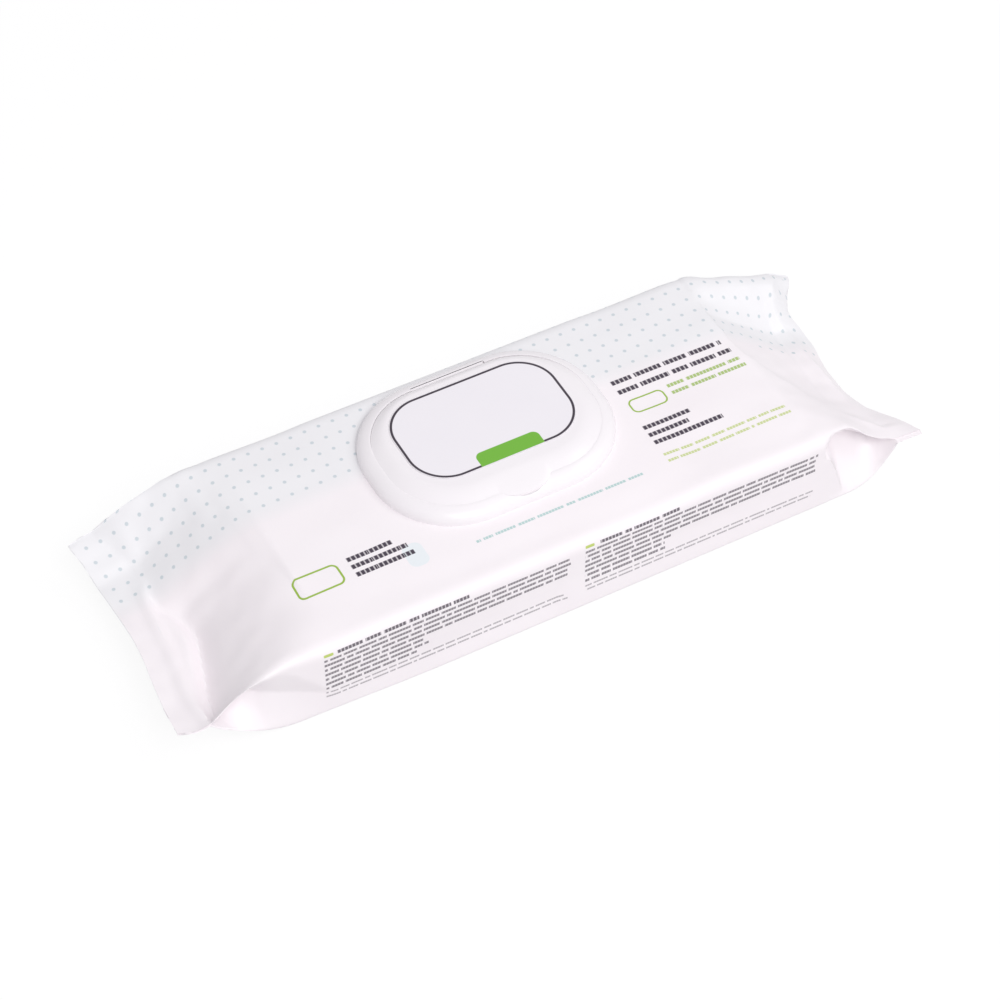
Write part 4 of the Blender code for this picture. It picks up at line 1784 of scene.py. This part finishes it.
@dataclass
class Wipes:
    """The stack of folded wipes, whose top one shows through the lid's opening."""

    finish: bpy.types.Material
    low: Vector
    high: Vector
    middle_y: float
    corner: float = 5.2
    corner_steps: int = 5
    top_cuts: int = 99
    crown_blend: float = 6.0
    least_dip: float = 0.1
    fold_depth: float = 1.3
    fold_half: float = 1.1
    fold_shift: float = 0.9
    fold_wander: float = 0.8
    fold_rate: float = 0.09
    waves: tuple[tuple[Triple, float], ...] = (
        ((0.06, 0.09, 0.0), 0.7),
        ((0.22, 0.3, 7.0), 0.25),
    )
    smooth_angle: float = 50.0
    name: str = "wipe_pile"

    def build(self) -> bpy.types.Object:
        """Build the stack and press the top wipe's fold into it.

        Returns:
            The finished piece.
        """
        made = add_block(self.name, self.low, self.high)
        with EditSession(made) as session:
            session.select_edges(lambda a, b: True)
            bpy.ops.mesh.bevel(offset=self.corner * MM, segments=self.corner_steps, affect="EDGES")
            session.select_faces(lambda middle, normal: normal.z > 0.99 and middle.z > self.high.z - 0.1)
            bpy.ops.mesh.subdivide(number_cuts=self.top_cuts)
        half_y = self.high.y - self.corner
        for vertex in made.data.vertices:
            spot = vertex.co / MM
            clear_x = min(spot.x - self.low.x, self.high.x - spot.x) - self.corner
            inside = min(clear_x, half_y - abs(spot.y), self.crown_blend) / self.crown_blend
            if spot.z > self.high.z - 0.05 and inside > 0:
                vertex.co.z -= self._dip(spot) * inside * MM
        return settle(made, self.finish, self.smooth_angle, Body.PACK, "wipe_stack")

    def _dip(self, spot: Vector) -> float:
        """Return how far the top wipe lies below the stack's highest level, with its fold along X.

        Args:
            spot: a place on the stack's top.

        Returns:
            The depth in millimetres.
        """
        from_fold = spot.y - self.middle_y - self.fold_wander * math.sin(spot.x * self.fold_rate)
        fold = math.exp(-((from_fold + self.fold_shift) / self.fold_half) ** 2)
        depth = self.least_dip + self.fold_depth * fold
        for (along, across, level), share in self.waves:
            wave = noise.noise(Vector((spot.x * along, spot.y * across, level)))
            depth += share * (0.5 + 0.5 * wave)
        return depth


# Lid


@dataclass(frozen=True)
class LidSizes:
    """Sizes that the lid's halves, the hinge and the film's window share.

    Heights are measured from the base's underside.
    """

    centre_y: float
    base_z: float
    length: float
    depth: float
    corner: float = 33.5
    rim_width: float = 5.5
    rim_edge: float = 0.8
    seam: float = 5.8
    ledge: float = 4.2
    ledge_width: float = 1.8
    floor: float = 1.0
    flap_top: float = 8.0
    flap_edge: float = 1.1
    seam_gap: float = 0.1
    back_gap: float = 0.4
    rim_power: float = 2.4
    rim_tilt: float = 0.3
    nib_half: float = 11.5
    nib_start: float = 0.3
    nib_reach: float = 4.3
    nib_drop: float = 0.6
    hinge_half: float = 15.95
    hinge_behind: float = 1.0
    hinge_below: float = 0.8
    corner_steps: int = 24
    side_steps: int = 56
    window_inset: Pair = (17.7, 17.2)
    window_corner: float = 16.0
    smooth_angle: float = 32.0

    @classmethod
    def from_frame(cls) -> "LidSizes":
        """Take the lid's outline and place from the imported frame."""
        low, high = box_mm("lid_base")
        return cls(centre_y=(low.y + high.y) / 2, base_z=low.z, length=high.x - low.x, depth=high.y - low.y)

    def window(self) -> tuple[Vector, Vector, float]:
        """Work out the film's window.

        Returns:
            Its lowest and its highest corner, and its corners' radius.
        """
        half = Vector((self.length / 2 - self.window_inset[0], self.depth / 2 - self.window_inset[1], 0.0))
        middle = Vector((0.0, self.centre_y, 0.0))
        return middle - half, middle + half, self.window_corner

    def rim_height(self, inset: float) -> float:
        """Follow the sloping rim.

        Args:
            inset: distance in from the outline.

        Returns:
            The rim's height there.
        """
        share = min(max(inset / self.rim_width, 0.0), 1.0)
        rounded = (1 - (1 - share) ** self.rim_power) ** (1 / self.rim_power)
        return self.rim_edge + (self.seam - self.rim_edge) * between(rounded, share, self.rim_tilt)

    def nib_share(self, x: float) -> float:
        """Return the nib's reach at a place along X, as a share of its full reach."""
        chord = math.sqrt(max(0.0, 1 - (x / self.nib_half) ** 2))
        return max(0.0, chord - self.nib_start) / (1 - self.nib_start)

    def hinge(self) -> Vector:
        """Return the middle of the hinge line."""
        seam_back = self.centre_y + self.depth / 2 - self.rim_width
        return Vector((0.0, seam_back + self.hinge_behind, self.base_z + self.seam - self.hinge_below))


@dataclass
class LidBase:
    """The lid's base: a domed rim, a ledge for the flap, a floor and an upstand round the opening."""

    sizes: LidSizes
    finish: bpy.types.Material
    rim_steps: int = 12
    rim_ease: float = 1.8
    crest: float = 0.15
    to_upstand: float = 11.15
    upstand: float = 2.2
    upstand_wall: float = 1.2
    upstand_edge: float = 0.2
    crown_dip: float = 0.03
    near: float = 0.2
    least_wall: float = 0.4
    room_side: float = 0.3
    room_front: Pair = (0.3, 0.6)
    room_back: Pair = (0.15, 2.6)
    name: str = "lid_base_shell"

    def build(self) -> bpy.types.Object:
        """Build the base.

        Returns:
            The finished piece.
        """
        s = self.sizes
        low = Vector((-s.length / 2, s.centre_y - s.depth / 2, s.base_z))
        high = Vector((s.length / 2, s.centre_y + s.depth / 2, s.base_z + s.rim_edge))
        made = add_block(self.name, low, high)
        with EditSession(made) as session:
            round_plan(session, s.corner, s.rim_edge, s.corner_steps, s.side_steps)
            session.select_faces(lambda middle, normal: normal.z > 0.9)
            insets = [s.rim_width * (i / self.rim_steps) ** self.rim_ease for i in range(self.rim_steps + 1)]
            for near, far in zip(insets, insets[1:]):
                session.inset(far - near, s.rim_height(far) - s.rim_height(near))
            for inward, upward in self._inner_profile():
                session.inset(inward, upward)
            session.select_faces(lambda middle, normal: normal.z < -0.9)
            inward = s.rim_width + sum(step for step, _ in self._inner_profile())
            session.inset(inward, 0.0)
            session.select_faces(
                lambda middle, normal: abs(normal.z) > 0.9
                and math.hypot(middle.x, middle.y - s.centre_y) < 0.5
            )
            bpy.ops.mesh.bridge_edge_loops()
        self._dip_for_nib(made)
        self._cut_hinge(made)
        return settle(made, self.finish, s.smooth_angle, Body.PACK, "lid_base")

    def _inner_profile(self) -> list[Pair]:
        """List the steps from the rim's crest to the opening's wall.

        Returns:
            How far each step goes inwards and upwards.
        """
        s = self.sizes
        edge, dip = self.upstand_edge, self.crown_dip
        return [
            (self.crest, -dip),
            (SHEER, -(s.seam - dip - s.ledge)),
            (s.ledge_width - self.crest - SHEER, 0.0),
            (SHEER, -(s.ledge - s.floor)),
            (self.to_upstand, 0.0),
            (SHEER, self.upstand - edge),
            (edge, edge),
            (self.upstand_wall - 2 * edge, 0.0),
            (edge, -edge),
            (SHEER, -(self.upstand + s.floor - 2 * edge)),
        ]

    def _dip_for_nib(self, made: bpy.types.Object) -> None:
        """Press the rim outwards and down in front of the flap's nib.

        Args:
            made: the base.
        """
        s = self.sizes
        front = s.centre_y - s.depth / 2
        wall = s.rim_width + s.ledge_width
        slack = 0.01
        for vertex in made.data.vertices:
            spot = vertex.co / MM
            inset, up = spot.y - front, spot.z - s.base_z
            share = s.nib_share(spot.x)
            if share <= 0 or not slack <= inset <= wall - SHEER / 2 or up < s.floor / 2:
                continue
            pressed = s.rim_width - s.nib_reach * share
            if inset <= s.rim_width + slack:
                moved = inset * pressed / s.rim_width
                vertex.co.y = (front + moved) * MM
                if up > s.rim_height(inset) - self.near:
                    vertex.co.z = (s.base_z + s.rim_height(moved)) * MM
            else:
                part = (inset - s.rim_width) / s.ledge_width
                vertex.co.y = (front + between(pressed, wall, part)) * MM
                crest = s.rim_height(pressed)
                ledge = min(s.ledge - s.nib_drop * share, crest - self.least_wall)
                level = crest - self.crown_dip if up > s.seam - self.near else ledge
                vertex.co.z = (s.base_z + level) * MM

    def _cut_hinge(self, made: bpy.types.Object) -> None:
        """Cut the room for the hinge web into the back of the rim.

        Args:
            made: the base.
        """
        s = self.sizes
        hinge = s.hinge()
        half = s.hinge_half + self.room_side
        seam_back = hinge.y - s.hinge_behind
        top = s.base_z + s.flap_top
        low_front, high_front = (seam_back - reach for reach in self.room_front)
        low_back, high_back = hinge.y + self.room_back[0], seam_back + self.room_back[1]
        rooms = (
            (Vector((-half, low_front, s.base_z + s.ledge - self.room_side)), Vector((half, low_back, top))),
            (Vector((-half, high_front, hinge.z)), Vector((half, high_back, top + self.room_side))),
        )
        for low, high in rooms:
            cut_away(made, add_block("hinge_room", low, high))


@dataclass
class LidFlap:
    """The flap: a domed cover with a flat top, a thumb nib and a sealing rib underneath."""

    sizes: LidSizes
    finish: bpy.types.Material
    flat_length: float = 75.5
    flat_depth: float = 50.2
    flat_shift: float = 2.35
    shoulder_steps: int = 16
    shoulder_ease: float = 1.0
    under_steps: int = 6
    wall: float = 1.2
    foot: float = 1.1
    rib_length: float = 67.9
    rib_depth: float = 41.9
    rib_wall: float = 1.0
    rib_base: float = 1.6
    edge_drop: float = 0.15
    nib_fade: float = 6.0
    name: str = "lid_flap_shell"

    def build(self) -> bpy.types.Object:
        """Build the flap.

        Returns:
            The finished piece.
        """
        s = self.sizes
        inset = s.rim_width + s.seam_gap
        length, depth = s.length - 2 * inset, s.depth - inset - s.rim_width - s.back_gap
        edge_top = s.seam - self.edge_drop
        middle_y = s.centre_y - (s.back_gap - s.seam_gap) / 2
        low = Vector((-length / 2, middle_y - depth / 2, s.base_z + edge_top - s.flap_edge))
        high = Vector((length / 2, middle_y + depth / 2, s.base_z + edge_top))
        made = add_block(self.name, low, high)
        total = (length - self.flat_length) / 2
        with EditSession(made) as session:
            round_plan(session, s.corner - inset, s.flap_edge, s.corner_steps, s.side_steps)
            session.select_faces(lambda middle, normal: normal.z > 0.9)
            self._shoulder(session, total, self.shoulder_steps, edge_top, depth, 1.0)
            session.select_faces(lambda middle, normal: normal.z < -0.9)
            session.inset(self.foot, 0.0)
            inner_depth = depth - 2 * self.foot
            self._shoulder(session, total - self.foot, self.under_steps, edge_top, inner_depth, -1.0)
            self._rib(session)
        self._push_nib(made, low.y)
        return settle(made, self.finish, s.smooth_angle, Body.FLAP, "lid_flap")

    def _shoulder(
        self, session: EditSession, total: float, steps: int, edge_top: float, depth: float, facing: float
    ) -> None:
        """Dome the selected face up to the flat top, or up to the roof underneath.

        Args:
            session: the flap in edit mode, with one face selected.
            total: how far the flat lies in from the edge.
            steps: number of insets.
            edge_top: height of the flap's edge.
            depth: depth of the outline that the shoulder starts from.
            facing: 1 for the top, -1 for the underside.
        """
        s = self.sizes
        end = s.flap_top if facing > 0 else s.flap_top - self.wall
        start = edge_top if facing > 0 else edge_top - s.flap_edge
        middle = s.centre_y
        last_plan = last_height = last_shift = 0.0
        last_stretch = 1.0
        for index in range(1, steps + 1):
            share = index / steps
            plan = share ** self.shoulder_ease
            height = math.sin(share * math.pi / 2)
            session.inset(total * (plan - last_plan), facing * (end - start) * (height - last_height))
            shift = self.flat_shift * (plan - last_shift)
            session.shift(shift)
            middle += shift
            full = between(1.0, self.flat_depth / (depth - 2 * total), plan)
            session.stretch(full / last_stretch, middle)
            last_plan, last_height, last_shift, last_stretch = plan, height, plan, full

    def _rib(self, session: EditSession) -> None:
        """Draw the sealing rib down from the roof.

        Args:
            session: the flap in edit mode, with the roof selected.
        """
        s = self.sizes
        roof = s.flap_top - self.wall
        inward = (self.flat_length - self.rib_length) / 2
        session.inset(inward, 0.0)
        session.shift(-self.flat_shift)
        session.stretch(self.rib_depth / (self.flat_depth - 2 * inward), s.centre_y)
        session.inset(SHEER, roof - self.rib_base)
        session.inset(self.rib_wall, 0.0)
        session.inset(SHEER, -(roof - self.rib_base))

    def _push_nib(self, made: bpy.types.Object, front: float) -> None:
        """Push the middle of the front edge forwards into a thumb nib.

        Args:
            made: the flap.
            front: the place of its front edge.
        """
        s = self.sizes
        for vertex in made.data.vertices:
            spot = vertex.co / MM
            fade = 1 - (spot.y - front) / self.nib_fade
            amount = s.nib_share(spot.x) * float(soft_step(0.0, 1.0, np.array(fade)))
            vertex.co.y -= s.nib_reach * amount * MM
            vertex.co.z -= s.nib_drop * amount * MM


@dataclass
class HingeWeb:
    """The thin web of the moulding across the hinge line, where the real part bends when the flap opens; here
    it is one strip that does not bend.
    """

    sizes: LidSizes
    finish: bpy.types.Material
    thickness: float = 0.5
    reach_front: float = 1.9
    reach_back: float = 0.6
    parts: int = 24
    groove: float = 0.12
    groove_half: float = 0.25
    blend_half: float = 0.4
    smooth_angle: float = 40.0

    def build(self) -> bpy.types.Object:
        """Build the web as one strip across the hinge line.

        Returns:
            The finished piece.
        """
        s = self.sizes
        hinge = s.hinge()
        low = Vector((-s.hinge_half, hinge.y - self.reach_front, hinge.z - self.thickness))
        high = Vector((s.hinge_half, hinge.y + self.reach_back, hinge.z))
        made = add_block("hinge_web", low, high)
        with EditSession(made) as session:
            session.select_edges(lambda a, b: abs(a.y - b.y) > 1.0)
            bpy.ops.mesh.subdivide(number_cuts=self.parts - 1)
            session.select_edges(
                lambda a, b: abs(a.x - b.x) > LONG_EDGE
                and abs(a.y - hinge.y) < self.groove_half
                and a.z > hinge.z - self.thickness / 2
            )
            bpy.ops.transform.translate(value=(0.0, 0.0, -self.groove * MM))
        finish_piece(made, self.finish, self.smooth_angle)
        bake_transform(made)
        return made


@dataclass
class Label:
    """The printed label on the flap's flat top."""

    low: Vector
    high: Vector
    effects: Effects
    corner: float = 16.5
    corner_steps: int = 20
    side_steps: int = 6
    edge: float = 0.08
    smooth_angle: float = 30.0
    name: str = "label_sheet"

    def build(self) -> bpy.types.Object:
        """Build the label, with a narrow ring inset on its top face.

        Returns:
            The finished piece.
        """
        made = add_block(self.name, self.low, self.high)
        with EditSession(made) as session:
            round_plan(session, self.corner, self.high.z - self.low.z, self.corner_steps, self.side_steps)
            session.select_faces(lambda middle, normal: normal.z > 0.9)
            session.inset(self.edge, 0.0)
        centre = (self.low + self.high) / 2
        finish = LabelFinish(
            centre=(centre.x, centre.y),
            half=((self.high.x - self.low.x) / 2, (self.high.y - self.low.y) / 2),
            corner=self.corner,
        )
        return settle(made, finish.build(self.effects), self.smooth_angle, Body.FLAP, "lid_label")


# Studio


@dataclass
class Studio:
    """Pale floor, soft lamps and the camera."""

    aim: Vector = field(default_factory=lambda: Vector((-5.4, -9.6, 25.0)))
    azimuth: float = -28.848
    elevation: float = 48.872
    roll: float = 0.303
    distance: float = 1216.0
    lens: float = 113.09
    world_strength: float = 0.58
    world_colour: Colour = (0.985, 0.965, 1.0)
    lamp_distance: float = 1.7
    lamp_size: float = 0.8
    lamps: tuple[tuple[str, float, float, float], ...] = (
        ("front_lamp", -5.0, 50.0, 11.7),
        ("right_lamp", 65.0, 50.0, 4.6),
    )
    floor_size: float = 8.0
    floor_drop: float = 0.0002
    floor_bounce: Colour = (0.72, 0.71, 0.72)
    floor_seen: Colour = (0.14, 0.14, 0.14)
    floor_glow: float = 0.88
    sensor: float = 36.0

    def build(self) -> None:
        """Build the whole studio."""
        self._floor()
        self._world()
        for name, azimuth, elevation, power in self.lamps:
            self._lamp(name, self._direction(azimuth, elevation), power)
        self._camera()
        bpy.context.scene.view_settings.view_transform = "Standard"

    def _split(
        self, graph: Graph, output: str, lighting: Socket, shown: Socket
    ) -> None:
        """Light the object with one shader, and show another to camera, glossy and transmission rays.

        Args:
            graph: the graph of the floor or the world.
            output: Blender's name of its output node.
            lighting: the shader that the object is lit by.
            shown: the shader that is seen.
        """
        path = graph.node("ShaderNodeLightPath")
        seen = graph.math("MAXIMUM", path.outputs["Is Camera Ray"], path.outputs["Is Glossy Ray"])
        seen = graph.math("MAXIMUM", seen, path.outputs["Is Transmission Ray"])
        chosen = graph.node("ShaderNodeMixShader")
        for source, socket in zip((seen, lighting, shown), chosen.inputs):
            graph.join(source, socket)
        graph.join(chosen.outputs[0], graph.node(output).inputs["Surface"])

    def _floor(self) -> None:
        """Add a plain floor that shows white and keeps a soft shadow."""
        deselect_all()
        bpy.ops.mesh.primitive_plane_add(size=self.floor_size, location=(0.0, 0.0, -self.floor_drop))
        floor = bpy.context.object
        floor.name = "studio_floor"
        made = bpy.data.materials.new("studio_floor")
        made.use_nodes = True
        made.node_tree.nodes.clear()
        graph = Graph(made.node_tree)
        bounce, seen = graph.node("ShaderNodeBsdfDiffuse"), graph.node("ShaderNodeBsdfDiffuse")
        graph.join(opaque(self.floor_bounce), bounce.inputs["Color"])
        graph.join(opaque(self.floor_seen), seen.inputs["Color"])
        glow = graph.node("ShaderNodeEmission")
        graph.join(self.floor_glow, glow.inputs["Strength"])
        lit = graph.node("ShaderNodeAddShader")
        graph.join(seen.outputs[0], lit.inputs[0])
        graph.join(glow.outputs[0], lit.inputs[1])
        self._split(graph, "ShaderNodeOutputMaterial", bounce.outputs[0], lit.outputs[0])
        floor.data.materials.append(made)

    def _world(self) -> None:
        """Light everything softly, and show plain white behind the object."""
        world = bpy.data.worlds.new("studio")
        bpy.context.scene.world = world
        world.use_nodes = True
        world.node_tree.nodes.clear()
        graph = Graph(world.node_tree)
        fill, white = graph.node("ShaderNodeBackground"), graph.node("ShaderNodeBackground")
        graph.join(opaque(self.world_colour), fill.inputs["Color"])
        graph.join(self.world_strength, fill.inputs["Strength"])
        graph.join((1.0, 1.0, 1.0, 1.0), white.inputs["Color"])
        self._split(graph, "ShaderNodeOutputWorld", fill.outputs[0], white.outputs[0])

    def _direction(self, azimuth: float, elevation: float) -> Vector:
        """Return the direction from the pack, with azimuth 0 in front and more to the right, in degrees."""
        turn, tilt = math.radians(azimuth), math.radians(elevation)
        return Vector((math.sin(turn) * math.cos(tilt), -math.cos(turn) * math.cos(tilt), math.sin(tilt)))

    def _lamp(self, name: str, direction: Vector, power: float) -> None:
        """Add a square soft box that faces the pack.

        Args:
            name: the lamp's name.
            direction: direction from the pack to the lamp.
            power: watts.
        """
        data = bpy.data.lights.new(name, "AREA")
        data.shape = "SQUARE"
        data.size = self.lamp_size
        data.energy = power
        lamp = bpy.data.objects.new(name, data)
        lamp.location = direction * self.lamp_distance
        lamp.rotation_euler = (-direction).to_track_quat("-Z", "Y").to_euler()
        bpy.context.scene.collection.objects.link(lamp)

    def _camera(self) -> None:
        """Add the camera at the photograph's angle."""
        back = self._direction(self.azimuth, self.elevation)
        data = bpy.data.cameras.new("photo_camera")
        data.lens = self.lens
        data.sensor_width = self.sensor
        camera = bpy.data.objects.new("photo_camera", data)
        look = (-back).to_track_quat("-Z", "Y") @ Quaternion((0.0, 0.0, 1.0), math.radians(self.roll))
        place = (self.aim + back * self.distance) * MM
        camera.matrix_world = Matrix.Translation(place) @ look.to_matrix().to_4x4()
        bpy.context.scene.collection.objects.link(camera)
        bpy.context.scene.camera = camera


def main() -> None:
    """Build the studio and every piece of the pack."""
    logging.basicConfig(level=logging.INFO, format="%(message)s")
    effects = Effects.build()
    film = FilmFinish().build(effects)
    lid_finish = LidFinish().build(effects)
    low, high = box_mm("film_wrapper")
    sizes = LidSizes.from_frame()
    wipes_low, wipes_high = box_mm("wipe_stack")
    left_room, right_room = Vector((18.0, 0.0, 0.0)), Vector((4.0, 0.0, 0.0))
    makers = (
        Wrapper(film, low, high, sizes.window()),
        FinSeal(film, length=230.0),
        Wipes(WipeFinish().build(effects), wipes_low + left_room, wipes_high - right_room, sizes.centre_y),
        LidBase(sizes, lid_finish),
        LidFlap(sizes, lid_finish),
        HingeWeb(sizes, lid_finish),
        Label(*box_mm("lid_label"), effects),
    )
    for maker in makers:
        made = maker.build()
        LOG.info("%s: %d triangles", made.name, sum(len(face.vertices) - 2 for face in made.data.polygons))
    Studio().build()


if __name__ == "__main__":
    main()
